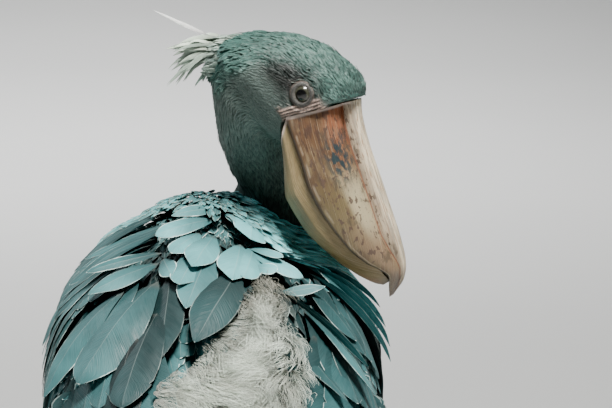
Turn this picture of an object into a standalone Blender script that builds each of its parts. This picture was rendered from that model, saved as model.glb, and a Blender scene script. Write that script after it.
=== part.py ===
"""A life-size standing shoebill looking back over its right shoulder, wings drooped.

Metres, +Z up. The bird faces -Y, so its right side is at -X. The feet stand on z = 0.
"""

import math

import bmesh
import bpy
from mathutils import Matrix, Vector

GAP = 0.0004  # clearance between two pieces that meet
X_AXIS = Vector((1, 0, 0))
Y_AXIS = Vector((0, 1, 0))
Z_AXIS = Vector((0, 0, 1))
SIDES = (("left", 1), ("right", -1))

# Trunk: a slanted barrel, measured along its axis from the breast (0) to the vent (1)
BREAST = Vector((-0.018, -0.205, 0.785))
VENT = Vector((0.002, 0.170, 0.470))
TRUNK_LENGTH = (VENT - BREAST).length
TRUNK_AXIS = (VENT - BREAST).normalized()
TRUNK_UP = X_AXIS.cross(TRUNK_AXIS)
TRUNK_WIDTH = ((-0.10, 0.0), (-0.06, 0.046), (0.04, 0.088), (0.15, 0.114), (0.30, 0.131),
               (0.5, 0.135), (0.75, 0.116), (0.95, 0.074), (1.08, 0.038), (1.6, 0.030))
TRUNK_BACK = ((-0.10, 0.0), (-0.06, 0.042), (0.04, 0.088), (0.20, 0.124), (0.42, 0.142),
              (0.75, 0.128), (0.95, 0.094), (1.08, 0.060), (1.6, 0.030))
TRUNK_BELLY = ((-0.10, 0.0), (-0.06, 0.046), (0.04, 0.094), (0.25, 0.136), (0.5, 0.138),
               (0.75, 0.114), (0.95, 0.070), (1.08, 0.040), (1.6, 0.020))
TRUNK_STATIONS = (-0.085, -0.06, -0.01, 0.06, 0.14, 0.23, 0.32, 0.41, 0.5, 0.59, 0.68,
                  0.77, 0.86, 0.94, 1.01, 1.06)
TRUNK_SIDES = 22
TRUNK_RADIUS = 0.13  # a typical half-width, for turning a clearance into an angle

# Head: its own frame has the bill along +x, the bird's left along +y and the crown along +z,
# with the corner of the gape as origin
HEAD_AT = Vector((-0.102, -0.073, 0.941))
HEAD_TURN = math.radians(116)
BILL_DROP = math.radians(57.5)
HEAD_SIDES = 24
HEAD_STATIONS = (0.0, -0.01, -0.02, -0.032, -0.044, -0.056, -0.068, -0.079, -0.088, -0.095)
HEAD_CENTRE = ((-0.10, -0.026), (-0.06, -0.006), (-0.02, 0.004), (0.0, 0.0))
HEAD_RISE = ((-0.10, 0.010), (-0.088, 0.030), (-0.06, 0.050), (-0.035, 0.062), (-0.012, 0.071),
             (0.0, 0.068))
HEAD_FALL = ((-0.10, 0.010), (-0.088, 0.030), (-0.06, 0.048), (-0.03, 0.050), (0.0, 0.030))
HEAD_WIDTH = ((-0.10, 0.012), (-0.088, 0.033), (-0.06, 0.050), (-0.03, 0.0535), (0.0, 0.0525))

# Bill, by distance from the gape
CULMEN = ((0.0, 0.0605), (0.022, 0.053), (0.05, 0.0460), (0.081, 0.0395), (0.127, 0.0290),
          (0.163, 0.0205), (0.184, 0.0130), (0.197, 0.0025), (0.2055, -0.016))
TOMIUM = ((0.0, 0.0), (0.022, -0.0055), (0.043, -0.010), (0.074, -0.0175), (0.107, -0.0205),
          (0.139, -0.0195), (0.164, -0.0145), (0.176, -0.0085), (0.186, -0.0055),
          (0.196, -0.0125), (0.2055, -0.0195))
KEEL = ((0.0, -0.028), (0.03, -0.045), (0.06, -0.0535), (0.10, -0.055), (0.14, -0.0465),
        (0.17, -0.035), (0.186, -0.025), (0.192, -0.019))
UPPER_WIDTH = ((0.0, 0.0495), (0.03, 0.0500), (0.07, 0.0490), (0.11, 0.0430), (0.145, 0.0335),
               (0.17, 0.0225), (0.188, 0.0125), (0.2055, 0.0030))
LOWER_WIDTH = ((0.0, 0.0485), (0.07, 0.0470), (0.11, 0.0405), (0.145, 0.0300), (0.17, 0.0190),
               (0.184, 0.0110), (0.192, 0.0040))
UPPER_STATIONS = (0.0, 0.012, 0.028, 0.048, 0.070, 0.092, 0.112, 0.130, 0.146, 0.160, 0.171,
                  0.180, 0.188, 0.1945, 0.2005, 0.2055)
LOWER_STATIONS = (0.0, 0.014, 0.032, 0.052, 0.074, 0.096, 0.116, 0.134, 0.150, 0.163, 0.174,
                  0.182, 0.188, 0.192)
HOOK_START = 0.176
RIDGE_WIDTH = 0.0135
RIDGE_DROP = 0.0130
RIDGE_WIDTH_MOST = 0.42  # of the bill's half-width
RIDGE_DROP_MOST = 0.30  # of its height
RIDGE_PROFILE = ((0.55, 0.12), (1.0, 0.45), (1.04, 1.0))  # shares of the ridge's width and drop
BILL_SIDE_SWELL = 0.85
BILL_SIDE_FALL = 1.25
BILL_EDGE_INSET = 0.72
KEEL_ROUNDNESS = 0.62
KEEL_FULLNESS = 0.80
LOWER_LEAST_DEPTH = 0.002
BILL_SIDE_STEPS = 4
BILL_KEEL_STEPS = 6
CHIN_SLANT = 0.9
BROW_SLANT = 0.345
BILL_SLANT_REACH = 0.070
HEAD_SLANT_REACH = 0.045

EYE_AT = (-0.0105, 0.0405, 0.0270)
EYE_RADIUS = 0.0115
EYE_SEGMENTS = 14
EYE_RINGS = 8

# Neck: centre points and radii from inside the trunk to inside the head
NECK_ROUTE = ((Vector((-0.034, -0.150, 0.720)), 0.076), (Vector((-0.086, -0.188, 0.790)), 0.061),
              (Vector((-0.103, -0.180, 0.850)), 0.052), (Vector((-0.072, -0.152, 0.900)), 0.045),
              (Vector((-0.063, -0.108, 0.945)), 0.046), (Vector((-0.055, -0.097, 0.976)), 0.041),
              (Vector((-0.058, -0.091, 0.992)), 0.022))
NECK_RINGS = 14
NECK_SIDES = 18

# Lengths along the trunk at which each wing is parted, and its edges as angles from the back
WING_FRONT = -0.02
WING_CUTS = (0.52, 0.98)
WING_TIP = 1.44
WING_TOP_EDGE = ((-0.02, 66), (0.10, 50), (0.30, 37), (0.52, 30), (0.75, 28), (0.98, 33),
                 (1.25, 50), (1.38, 64), (1.44, 78))
RIGHT_WING_DROOP = ((-0.02, 0), (0.30, 4), (0.52, 13), (0.98, 9), (1.44, 0))
WING_LOW_EDGE = ((-0.02, 84), (0.10, 112), (0.30, 126), (0.52, 128), (0.75, 124), (0.98, 120),
                 (1.25, 112), (1.38, 104), (1.44, 94))
WING_STANDOFF = ((-0.02, 0.002), (0.30, 0.003), (0.60, 0.012), (0.98, 0.024), (1.25, 0.042),
                 (1.44, 0.048))
WING_THICKNESS = ((-0.02, 0.010), (0.10, 0.020), (0.30, 0.028), (0.75, 0.018), (1.05, 0.011),
                  (1.44, 0.004))
WING_ACROSS = 8
WING_ROWS = 8
WING_EDGE_SHARE = 0.22  # of its full thickness that a wing has at its edges
WING_CROWN = 0.7
WING_CLEARANCE = 0.0032
WING_CUTTER_RISE = 0.06
WING_CUTTER_STATIONS = tuple(0.1 * i for i in range(1, 13))

SCAPULAR_REACH = (0.06, 0.58)
SCAPULAR_EDGES = ((0.06, 10, 42), (0.20, 5, 38), (0.40, 7, 32), (0.58, 17, 27))
SCAPULAR_STANDOFF = 0.0015
SCAPULAR_THICKNESS = 0.012
SCAPULAR_EDGE_SHARE = 0.3
SCAPULAR_TAPER = (0.10, 0.95)  # where its rows start and end along a half sine
SCAPULAR_ROWS = 8
SCAPULAR_ACROSS = 5

TAIL_ROOT = Vector((0, 0.170, 0.500))
TAIL_TIP = Vector((0, 0.330, 0.316))
TAIL_WIDTHS = ((0.0, 0.032), (0.4, 0.044), (0.8, 0.056), (0.95, 0.052), (1.0, 0.040))
TAIL_THICKNESS = 0.012
TAIL_THINNING = 0.72  # from root to tip
TAIL_SIDE_THINNING = 0.5
TAIL_ROUNDING = 0.020
TAIL_ARCH = 0.016
TAIL_SCALLOP = 0.006
TAIL_SCALLOPS = 3  # on each side
TAIL_ROWS = 6
TAIL_ACROSS = 12

CREST_ROOT = (-0.097, 0.0, -0.029)
CREST_PLUMES = (  # sideways and upward lean in degrees, length
    (4, -36, 0.092), (-6, -56, 0.062), (10, -62, 0.075), (-12, -69, 0.070), (6, -79, 0.079),
    (-4, -91, 0.088))
CREST_PLUME_WIDTH = 0.0080
CREST_PLUME_PROFILE = ((0.0, 0.50), (0.35, 0.56), (0.7, 0.42))  # place along it, half-width
CREST_PLUME_FLATNESS = 0.42
CREST_PLUME_POINT = 0.0009
CREST_PLUME_RINGS = 6
CREST_PLUME_SIDES = 6
CREST_NARROWEST = 0.6  # the topmost plume's width over the others'
CREST_ROOT_SINK = 0.006
CREST_DROOP = Vector((-0.004, 0, -0.006))
CREST_KNOT_RADIUS = 0.013

# The bib of long plumes over the breast: centre points and half-widths, seen from PLUME_FACE
PLUME_ROUTE = ((Vector((-0.106, -0.222, 0.872)), 0.028), (Vector((-0.122, -0.242, 0.822)), 0.050),
               (Vector((-0.130, -0.250, 0.768)), 0.050), (Vector((-0.138, -0.244, 0.712)), 0.012))
PLUME_FACE = Vector((-0.30, -0.95, 0))
PLUME_DEPTH = 0.42
PLUME_RINGS = 9
PLUME_SIDES = 12

# Legs, for the left side
HIP = Vector((0.062, -0.048, 0.600))
THIGH_END = Vector((0.082, 0.026, 0.352))
HOCK = Vector((0.087, 0.052, 0.262))
ANKLE = Vector((0.100, 0.012, 0.030))
THIGH_RADII = ((0.0, 0.052), (0.50, 0.044), (0.78, 0.030), (1.0, 0.0165))
SHANK_RADII = ((0.0, 0.0120), (0.20, 0.0115), (0.275, 0.0165), (0.36, 0.0125), (0.65, 0.0095),
               (0.92, 0.0105), (1.0, 0.0150))
THIGH_DEPTH = 1.25  # front to back over side to side
SHANK_DEPTH = 1.15
HOCK_DEPTH = 1.35
THIGH_RINGS = 9
THIGH_SIDES = 14
SHANK_RINGS = 15
SHANK_SIDES = 10
HOCK_REACH = 0.06
SHANK_BEND = 0.285  # share of the shank's length that lies above the hock
FOOT_RADIUS = 0.0225
FOOT_SIDES = 16
FOOT_PROFILE = ((0.0, 0.93), (0.35, 1.0), (0.7, 0.92), (1.0, 0.66))  # height, radius shares
TOES = (("hallux", 176, 0.080), ("inner", -39, 0.130), ("middle", 4, 0.172),
        ("outer", 47, 0.142))
TOE_RADIUS = 0.0073
TOE_WIDTHS = ((0.0, 0.86), (0.10, 1.05), (0.22, 0.90), (0.36, 1.0), (0.50, 0.82), (0.64, 0.90),
              (0.78, 0.70), (0.90, 0.76), (1.0, 0.55))
TOE_SECTION = ((0.62, 0.0), (1.0, 0.42), (0.72, 0.86), (0.0, 1.0), (-0.72, 0.86), (-1.0, 0.42),
               (-0.62, 0.0))  # a flat sole under a round top, per radius and per height
TOE_RINGS = 10
CLAW_LENGTH = 0.017
CLAW_RADIUS = 0.0038
CLAW_POINT = 0.0006
CLAW_HEIGHT = 0.0062
CLAW_RINGS = 5
CLAW_SIDES = 6

COLOURS = {
    "blue_grey": ((0.27, 0.36, 0.36, 1), 0.8, 0),
    "flight_grey": ((0.20, 0.28, 0.30, 1), 0.7, 0),
    "horn": ((0.52, 0.42, 0.29, 1), 0.45, 0),
    "dark_leg": ((0.07, 0.075, 0.075, 1), 0.6, 0),
    "claw_black": ((0.03, 0.03, 0.03, 1), 0.4, 0),
    "eye": ((0.30, 0.29, 0.22, 1), 0.15, 0),
}


def along(knots, at):
    """The value at a station, on a smooth curve through (station, value) knots."""
    if at <= knots[0][0]:
        return knots[0][1]
    if at >= knots[-1][0]:
        return knots[-1][1]
    last = len(knots) - 1
    i = max(k for k in range(last) if knots[k][0] <= at)
    (x0, y0), (x1, y1) = knots[i], knots[i + 1]
    rise = (y1 - y0) / (x1 - x0)

    def slope(a, b):
        before = (knots[a + 1][1] - knots[a][1]) / (knots[a + 1][0] - knots[a][0])
        after = (knots[b + 1][1] - knots[b][1]) / (knots[b + 1][0] - knots[b][0])
        return 0 if before * after <= 0 else 2 * before * after / (before + after)

    start = slope(i - 1, i) if i > 0 else rise
    end = slope(i, i + 1) if i + 1 < last else rise
    t = (at - x0) / (x1 - x0)
    run = x1 - x0
    return (y0 * (1 + 2 * t) * (1 - t) ** 2 + run * start * t * (1 - t) ** 2
            + y1 * t * t * (3 - 2 * t) + run * end * t * t * (t - 1))


def material(name):
    found = bpy.data.materials.get(name)
    if found:
        return found
    colour, roughness, metallic = COLOURS[name]
    made = bpy.data.materials.new(name)
    made.diffuse_color = colour
    made.use_nodes = True
    shader = made.node_tree.nodes["Principled BSDF"]
    shader.inputs["Base Color"].default_value = colour
    shader.inputs["Roughness"].default_value = roughness
    shader.inputs["Metallic"].default_value = metallic
    return made


def collection(name, shown=True):
    found = bpy.data.collections.get(name)
    if not found:
        found = bpy.data.collections.new(name)
        bpy.context.scene.collection.children.link(found)
        found.hide_render = not shown
    return found


def object_from(mesh, name, finish=None):
    """A visible piece with its finish, or a hidden cutter where no finish is named."""
    obj = bpy.data.objects.new(name, mesh)
    if finish:
        collection("shoebill").objects.link(obj)
        mesh.materials.append(material(finish))
        mesh.shade_smooth()
        mesh.set_sharp_from_angle(angle=math.radians(40))
    else:
        collection("cutters", shown=False).objects.link(obj)
        obj.hide_render = True
        obj.display_type = "WIRE"
    return obj


def loft(rings, name, finish=None, ends="fan"):
    """A closed skin over rings of equal count. Its ends are closed by a fan round a middle
    point, by strips level with the head's axes ("level"), or by strips from the first half
    of the ring to the second half ("sheet")."""
    bm = bmesh.new()
    rows = [[bm.verts.new(p) for p in ring] for ring in rings]
    count = len(rows[0])
    for low, high in zip(rows, rows[1:]):
        for i in range(count):
            j = (i + 1) % count
            bm.faces.new((low[i], low[j], high[j], high[i]))
    for row in (rows[0], rows[-1]):
        if ends == "fan":
            middle = bm.verts.new(sum((v.co for v in row), Vector()) / count)
            for i in range(count):
                bm.faces.new((row[i], row[(i + 1) % count], middle))
            continue
        first = 0 if ends == "level" else 1
        for i in range(count // 2):
            corners = (row[i], row[(i + 1) % count], row[(-i - 1 - first) % count],
                       row[(-i - first) % count])
            distinct = list(dict.fromkeys(corners))
            if len(distinct) > 2:
                bm.faces.new(distinct)
    bmesh.ops.recalc_face_normals(bm, faces=bm.faces)
    bmesh.ops.triangulate(bm, faces=bm.faces, quad_method="FIXED")
    mesh = bpy.data.meshes.new(name)
    bm.to_mesh(mesh)
    bm.free()
    return object_from(mesh, name, finish)


def cut_away(obj, *cutters):
    """Takes each cutter's shape out of the object."""
    for cutter in cutters:
        cut = obj.modifiers.new("cut " + cutter.name, "BOOLEAN")
        cut.operation = "DIFFERENCE"
        cut.solver = "EXACT"
        cut.object = cutter


def route_frames(route, rings):
    """Points, radii and headings evenly along a smooth curve through (point, radius) knots."""
    count = len(route) - 1
    axes = [tuple((i, point[k]) for i, (point, _) in enumerate(route)) for k in range(3)]
    radii = tuple((i, radius) for i, (_, radius) in enumerate(route))

    def place(t):
        return Vector([along(axis, t) for axis in axes])

    for n in range(rings):
        t = count * n / (rings - 1)
        step = 0.01 * count
        heading = place(min(t + step, count)) - place(max(t - step, 0))
        yield place(t), along(radii, t), heading.normalized()


def tube_rings(route, rings, sides, flatten=1.0, up=Z_AXIS, grow=0.0):
    """Rings across a route. flatten is the height over the width of each ring."""
    made = []
    for centre, radius, heading in route_frames(route, rings):
        side = heading.cross(up).normalized()
        rise = side.cross(heading).normalized()
        made.append([centre
                     + side * (radius + grow) * math.cos(2 * math.pi * i / sides)
                     + rise * (radius * flatten + grow) * math.sin(2 * math.pi * i / sides)
                     for i in range(sides)])
    return made


def apart(rings, grow):
    """The rings with the two end ones moved outward, for a cutter's ends."""
    start = (sum(rings[0], Vector()) - sum(rings[1], Vector())).normalized() * grow
    end = (sum(rings[-1], Vector()) - sum(rings[-2], Vector())).normalized() * grow
    return [[p + start for p in rings[0]], *rings[1:-1], [p + end for p in rings[-1]]]


def trunk_point(station, angle, side=1, lift=0.0):
    """A point on the trunk's skin, or lift above it. The angle is 0 at the back's middle."""
    width = along(TRUNK_WIDTH, station) + lift
    height = along(TRUNK_BACK if math.cos(angle) > 0 else TRUNK_BELLY, station) + lift
    return (BREAST + TRUNK_AXIS * station * TRUNK_LENGTH
            + X_AXIS * side * width * math.sin(angle)
            + TRUNK_UP * height * math.cos(angle))


def trunk(name="trunk", finish="blue_grey", grow=0.0):
    rings = [[trunk_point(station, 2 * math.pi * i / TRUNK_SIDES, lift=grow)
              for i in range(TRUNK_SIDES)] for station in TRUNK_STATIONS]
    return loft(apart(rings, grow), name, finish)


def head_matrix():
    """From the head's own frame to the world."""
    level = Vector((-math.sin(HEAD_TURN), -math.cos(HEAD_TURN), 0))
    forward = level * math.cos(BILL_DROP) - Z_AXIS * math.sin(BILL_DROP)
    crown = level * math.sin(BILL_DROP) + Z_AXIS * math.cos(BILL_DROP)
    left = crown.cross(forward)
    turn = Matrix((forward, left, crown)).transposed().to_4x4()
    return Matrix.Translation(HEAD_AT) @ turn


def slanted(station, across, height, reach):
    """A point of the head or bill, moved forward by the slant of the edge where they meet.
    The slant fades out over the reach."""
    slant = BROW_SLANT * height if height > 0 else -CHIN_SLANT * height
    fade = max(0.0, 1 - abs(station) / reach)
    return Vector((station + slant * fade, across, height))


def head(name="head", finish="blue_grey", grow=0.0):
    """The feathered head. Its front end is folded forward over the bill's root at the brow
    and at the chin."""
    turn = head_matrix()
    rings = []
    for station in HEAD_STATIONS:
        ring = []
        centre = along(HEAD_CENTRE, station)
        for i in range(HEAD_SIDES):
            angle = 2 * math.pi * i / HEAD_SIDES
            width = along(HEAD_WIDTH, station) + grow
            tall = along(HEAD_RISE if math.cos(angle) > 0 else HEAD_FALL, station) + grow
            ring.append(turn @ slanted(station - GAP / 2, width * math.sin(angle),
                                       centre + tall * math.cos(angle), HEAD_SLANT_REACH))
        rings.append(ring)
    return loft(apart(rings, grow), name, finish, ends="level")


def bill_upper():
    """The upper half of the bill: a ridged top, sides that swell to the cutting edge and a
    hook that overhangs the lower half."""
    turn = head_matrix()
    rings = []
    for station in UPPER_STATIONS:
        top = along(CULMEN, station)
        edge = along(TOMIUM, station)
        width = along(UPPER_WIDTH, station)
        ridge = min(RIDGE_WIDTH, RIDGE_WIDTH_MOST * width)
        drop = min(RIDGE_DROP, RIDGE_DROP_MOST * (top - edge))
        shoulder = top - drop
        profile = [(0.0, top)] + [(out * ridge, top - down * drop) for out, down in RIDGE_PROFILE]
        for i in range(BILL_SIDE_STEPS):
            share = (i + 1) / BILL_SIDE_STEPS
            swell = math.sin(0.5 * math.pi * share ** BILL_SIDE_SWELL)
            profile.append((ridge + (width - ridge) * swell,
                            shoulder + (edge - shoulder) * share ** BILL_SIDE_FALL))
        profile.append((BILL_EDGE_INSET * width, edge + GAP))
        right_to_left = [(-y, z) for y, z in profile[:0:-1]] + profile
        rings.append([turn @ slanted(station + GAP / 2, y, z, BILL_SLANT_REACH)
                      for y, z in right_to_left])
    from_ridge = [ring[len(ring) // 2:] + ring[:len(ring) // 2] for ring in rings]
    loft(from_ridge, "bill_upper", "horn", ends="level")


def bill_lower():
    """The lower half of the bill, a deep trough closed over by the upper half."""
    turn = head_matrix()
    rings = []
    for station in LOWER_STATIONS:
        edge = along(TOMIUM, min(station, HOOK_START)) - 2 * GAP
        bottom = min(along(KEEL, station), edge - LOWER_LEAST_DEPTH)
        width = along(LOWER_WIDTH, station)
        profile = [(0.0, edge), (BILL_EDGE_INSET * width, edge)]
        for i in range(BILL_KEEL_STEPS):
            lean = 0.5 * math.pi * i / BILL_KEEL_STEPS
            profile.append((width * math.cos(lean) ** KEEL_ROUNDNESS,
                            edge - GAP + (bottom - edge) * math.sin(lean) ** KEEL_FULLNESS))
        profile.append((0.0, bottom))
        left_to_right = profile + [(-y, z) for y, z in profile[-2:0:-1]]
        rings.append([turn @ slanted(station + GAP / 2, y, z, BILL_SLANT_REACH)
                      for y, z in left_to_right])
    loft(rings, "bill_lower", "horn", ends="level")


def eye(side_name, side, grow=0.0):
    """An eyeball, or the cutter for its socket where it is grown."""
    forward, across, rise = EYE_AT
    name = f"eye_{side_name}" if not grow else f"eye_socket_{side_name}"
    bm = bmesh.new()
    place = head_matrix() @ Matrix.Translation((forward, side * across, rise))
    aim = Matrix.Rotation(math.radians(-90 * side), 4, "X")
    bmesh.ops.create_uvsphere(bm, u_segments=EYE_SEGMENTS, v_segments=EYE_RINGS,
                              radius=EYE_RADIUS + grow, matrix=place @ aim)
    mesh = bpy.data.meshes.new(name)
    bm.to_mesh(mesh)
    bm.free()
    return object_from(mesh, name, None if grow else "eye")


def neck(name="neck", finish="blue_grey", grow=0.0):
    rings = tube_rings(NECK_ROUTE, NECK_RINGS, NECK_SIDES, up=Y_AXIS, grow=grow)
    return loft(rings, name, finish)


def panel(rows, name, finish):
    """A closed sheet from rows of (inner, outer) point pairs."""
    rings = [[outer for _, outer in row] + [inner for inner, _ in reversed(row)] for row in rows]
    return loft(rings, name, finish, ends="sheet")


def wing_row(station, side, sink=0.0, rise=0.0):
    """Point pairs across the wing, from its upper to its lower edge. A cutter sinks the
    inner face and raises the outer one."""
    margin = sink / TRUNK_RADIUS
    droop = along(RIGHT_WING_DROOP, station) if side < 0 else 0
    top = math.radians(along(WING_TOP_EDGE, station) + droop) - margin
    low = math.radians(along(WING_LOW_EDGE, station)) + margin
    thick = along(WING_THICKNESS, station)
    standoff = along(WING_STANDOFF, station)
    row = []
    for i in range(WING_ACROSS + 1):
        share = i / WING_ACROSS
        angle = top + (low - top) * share
        full = math.sin(math.pi * share) ** WING_CROWN
        crown = WING_EDGE_SHARE + (1 - WING_EDGE_SHARE) * full
        row.append((trunk_point(station, angle, side, standoff - sink),
                    trunk_point(station, angle, side, standoff + thick * crown + rise)))
    return row


def wing_cutter(side_name, side):
    """The room a wing takes over the thigh."""
    rows = [wing_row(station, side, WING_CLEARANCE, WING_CUTTER_RISE)
            for station in WING_CUTTER_STATIONS]
    return panel(rows, f"wing_cutter_{side_name}", None)


def wing(side_name, side, *cutters):
    """One wing, parted by thin gaps into coverts, secondaries and primaries. The cutters
    take the neck's room out of the coverts."""
    ends = (WING_FRONT, *WING_CUTS, WING_TIP)
    for part, start, end in zip(("coverts", "secondaries", "primaries"), ends, ends[1:]):
        clearance = GAP / TRUNK_LENGTH
        step = (end - start - 2 * clearance) / (WING_ROWS - 1)
        rows = [wing_row(start + clearance + step * i, side) for i in range(WING_ROWS)]
        piece = panel(rows, f"wing_{side_name}_{part}",
                      "blue_grey" if part == "coverts" else "flight_grey")
        if part == "coverts":
            cut_away(piece, *cutters)


def scapulars(side_name, side):
    """The pad of shoulder feathers that lies over the wing's root."""
    start, end = SCAPULAR_REACH
    inner_edge = tuple((s, inner) for s, inner, _ in SCAPULAR_EDGES)
    outer_edge = tuple((s, outer) for s, _, outer in SCAPULAR_EDGES)
    rows = []
    for i in range(SCAPULAR_ROWS + 1):
        station = start + (end - start) * i / SCAPULAR_ROWS
        phase = SCAPULAR_TAPER[0] + (SCAPULAR_TAPER[1] - SCAPULAR_TAPER[0]) * i / SCAPULAR_ROWS
        taper = math.sin(math.pi * phase) ** WING_CROWN
        row = []
        for k in range(SCAPULAR_ACROSS + 1):
            share = k / SCAPULAR_ACROSS
            angle = math.radians(along(inner_edge, station) * (1 - share)
                                 + along(outer_edge, station) * share)
            full = math.sin(math.pi * share)
            crown = SCAPULAR_EDGE_SHARE + (1 - SCAPULAR_EDGE_SHARE) * full
            height = SCAPULAR_STANDOFF + SCAPULAR_THICKNESS * crown * taper
            row.append((trunk_point(station, angle, side, SCAPULAR_STANDOFF),
                        trunk_point(station, angle, side, height)))
        rows.append(row)
    return panel(rows, f"scapulars_{side_name}", "blue_grey")


def tail():
    """The closed tail fan, with the round tips of its feathers as a scalloped end."""
    heading = (TAIL_TIP - TAIL_ROOT).normalized()
    rise = X_AXIS.cross(heading)
    length = (TAIL_TIP - TAIL_ROOT).length
    rows = []
    for i in range(TAIL_ROWS + 1):
        share = i / TAIL_ROWS
        width = along(TAIL_WIDTHS, share)
        row = []
        for k in range(TAIL_ACROSS + 1):
            place = 2 * k / TAIL_ACROSS - 1
            scallop = TAIL_SCALLOP * abs(math.sin(TAIL_SCALLOPS * math.pi * place)) * share
            reach = length * share - TAIL_ROUNDING * place * place * share + scallop
            arch = -TAIL_ARCH * place * place
            middle = TAIL_ROOT + heading * reach + X_AXIS * place * width + rise * arch
            thick = (TAIL_THICKNESS * (1 - TAIL_THINNING * share)
                     * (1 - TAIL_SIDE_THINNING * abs(place)))
            row.append((middle - rise * thick / 2, middle + rise * thick / 2))
        rows.append(row)
    return panel(rows, "tail", "flight_grey")


def crest():
    """Lance-shaped plumes that fan from the nape, joined at their root."""
    turn = head_matrix()
    blades = []
    for n, (sideways, upward, length) in enumerate(CREST_PLUMES):
        lean, rise = math.radians(sideways), math.radians(upward)
        heading = Vector((-math.cos(lean) * math.cos(rise), math.sin(lean),
                          math.sin(rise) * math.cos(lean)))
        root = Vector(CREST_ROOT) - heading * CREST_ROOT_SINK
        tip = root + heading * length
        width = CREST_PLUME_WIDTH * (CREST_NARROWEST if n == 0 else 1)
        route = [(turn @ root.lerp(tip, share), half * width)
                 for share, half in CREST_PLUME_PROFILE]
        route.append((turn @ (tip + CREST_DROOP), CREST_PLUME_POINT))
        rings = tube_rings(route, CREST_PLUME_RINGS, CREST_PLUME_SIDES,
                           CREST_PLUME_FLATNESS, turn.to_3x3() @ Y_AXIS)
        blades.append(loft(rings, f"crest_plume_{n}"))
    knot = bmesh.new()
    bmesh.ops.create_icosphere(knot, subdivisions=1, radius=CREST_KNOT_RADIUS,
                               matrix=turn @ Matrix.Translation(CREST_ROOT))
    mesh = bpy.data.meshes.new("crest")
    knot.to_mesh(mesh)
    knot.free()
    made = object_from(mesh, "crest", "blue_grey")
    for blade in blades:
        join = made.modifiers.new("join " + blade.name, "BOOLEAN")
        join.operation = "UNION"
        join.solver = "EXACT"
        join.object = blade
    return made


def breast_plumes():
    rings = tube_rings(PLUME_ROUTE, PLUME_RINGS, PLUME_SIDES, PLUME_DEPTH, PLUME_FACE)
    return loft(rings, "breast_plumes", "blue_grey")


def on_side(point, side):
    """The point itself for the left side, or its mirror image for the right."""
    return Vector((point.x * side, point.y, point.z))


def level_ring(centre, radius, sides, deep=1.0):
    """A level ring, deeper than wide by the given ratio."""
    return [centre + Vector((radius * math.cos(2 * math.pi * i / sides),
                             radius * deep * math.sin(2 * math.pi * i / sides), 0))
            for i in range(sides)]


def leg(side_name, side):
    """Thigh, and the bare shank from above the hock down to the foot."""
    hip, thigh_end, hock, ankle = (on_side(p, side) for p in (HIP, THIGH_END, HOCK, ANKLE))
    rings = []
    for n in range(THIGH_RINGS):
        share = n / (THIGH_RINGS - 1)
        rings.append(level_ring(hip.lerp(thigh_end, share), along(THIGH_RADII, share),
                                THIGH_SIDES, THIGH_DEPTH))
    thigh = loft(rings, f"thigh_{side_name}", "blue_grey")
    start = thigh_end - Z_AXIS * GAP
    rings = []
    for n in range(SHANK_RINGS):
        share = n / (SHANK_RINGS - 1)
        if share < SHANK_BEND:
            centre = start.lerp(hock, share / SHANK_BEND)
        else:
            centre = hock.lerp(ankle, (share - SHANK_BEND) / (1 - SHANK_BEND))
        at_hock = abs(share - SHANK_BEND) < HOCK_REACH
        rings.append(level_ring(centre, along(SHANK_RADII, share), SHANK_SIDES,
                                HOCK_DEPTH if at_hock else SHANK_DEPTH))
    loft(rings, f"shank_{side_name}", "dark_leg")
    return thigh


def foot(side_name, side):
    """The pad under the shank. It stands flat on the floor."""
    ankle = on_side(ANKLE, side)
    sole = Vector((ankle.x, ankle.y, 0))
    top = Z_AXIS * (ankle.z - GAP)
    rings = [level_ring(sole + top * level, FOOT_RADIUS * share, FOOT_SIDES)
             for level, share in FOOT_PROFILE]
    loft(rings, f"foot_{side_name}", "dark_leg")
    for toe_name, angle, length in TOES:
        toe(side_name, side, toe_name, angle, length)


def toe(side_name, side, toe_name, angle, length):
    """A jointed toe with a flat sole, and its claw."""
    turn = math.radians(angle) * side
    heading = Vector((math.sin(turn), -math.cos(turn), 0))
    across = Vector((-heading.y, heading.x, 0))
    start = Vector((side * ANKLE.x, ANKLE.y, 0)) + heading * (FOOT_RADIUS + GAP)
    reach = length - FOOT_RADIUS - CLAW_LENGTH
    rings = []
    for n in range(TOE_RINGS):
        share = n / (TOE_RINGS - 1)
        radius = TOE_RADIUS * along(TOE_WIDTHS, share)
        rings.append([start + heading * reach * share + across * radius * x
                      + Z_AXIS * 2 * radius * z for x, z in TOE_SECTION])
    loft(rings, f"toe_{side_name}_{toe_name}", "dark_leg")
    claw_rings = []
    for n in range(CLAW_RINGS):
        share = n / (CLAW_RINGS - 1)
        radius = CLAW_RADIUS * (1 - share) + CLAW_POINT
        centre = (start + heading * (reach + GAP + CLAW_LENGTH * share)
                  + Z_AXIS * (CLAW_HEIGHT - (CLAW_HEIGHT - 2 * CLAW_POINT) * share ** 2))
        claw_rings.append([centre + across * radius * math.cos(2 * math.pi * i / CLAW_SIDES)
                           + Z_AXIS * radius * math.sin(2 * math.pi * i / CLAW_SIDES)
                           for i in range(CLAW_SIDES)])
    loft(claw_rings, f"claw_{side_name}_{toe_name}", "claw_black")


def centre_on_floor():
    """Moves everything so that the origin is the middle of the bird's box, on the floor."""
    depsgraph = bpy.context.evaluated_depsgraph_get()
    corners = [Vector(corner) for obj in collection("shoebill").objects
               for corner in obj.evaluated_get(depsgraph).bound_box]
    low, high = ([pick(c[k] for c in corners) for k in range(3)] for pick in (min, max))
    offset = Vector(((low[0] + high[0]) / 2, (low[1] + high[1]) / 2, low[2]))
    for obj in bpy.data.objects:
        obj.location -= offset


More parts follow.
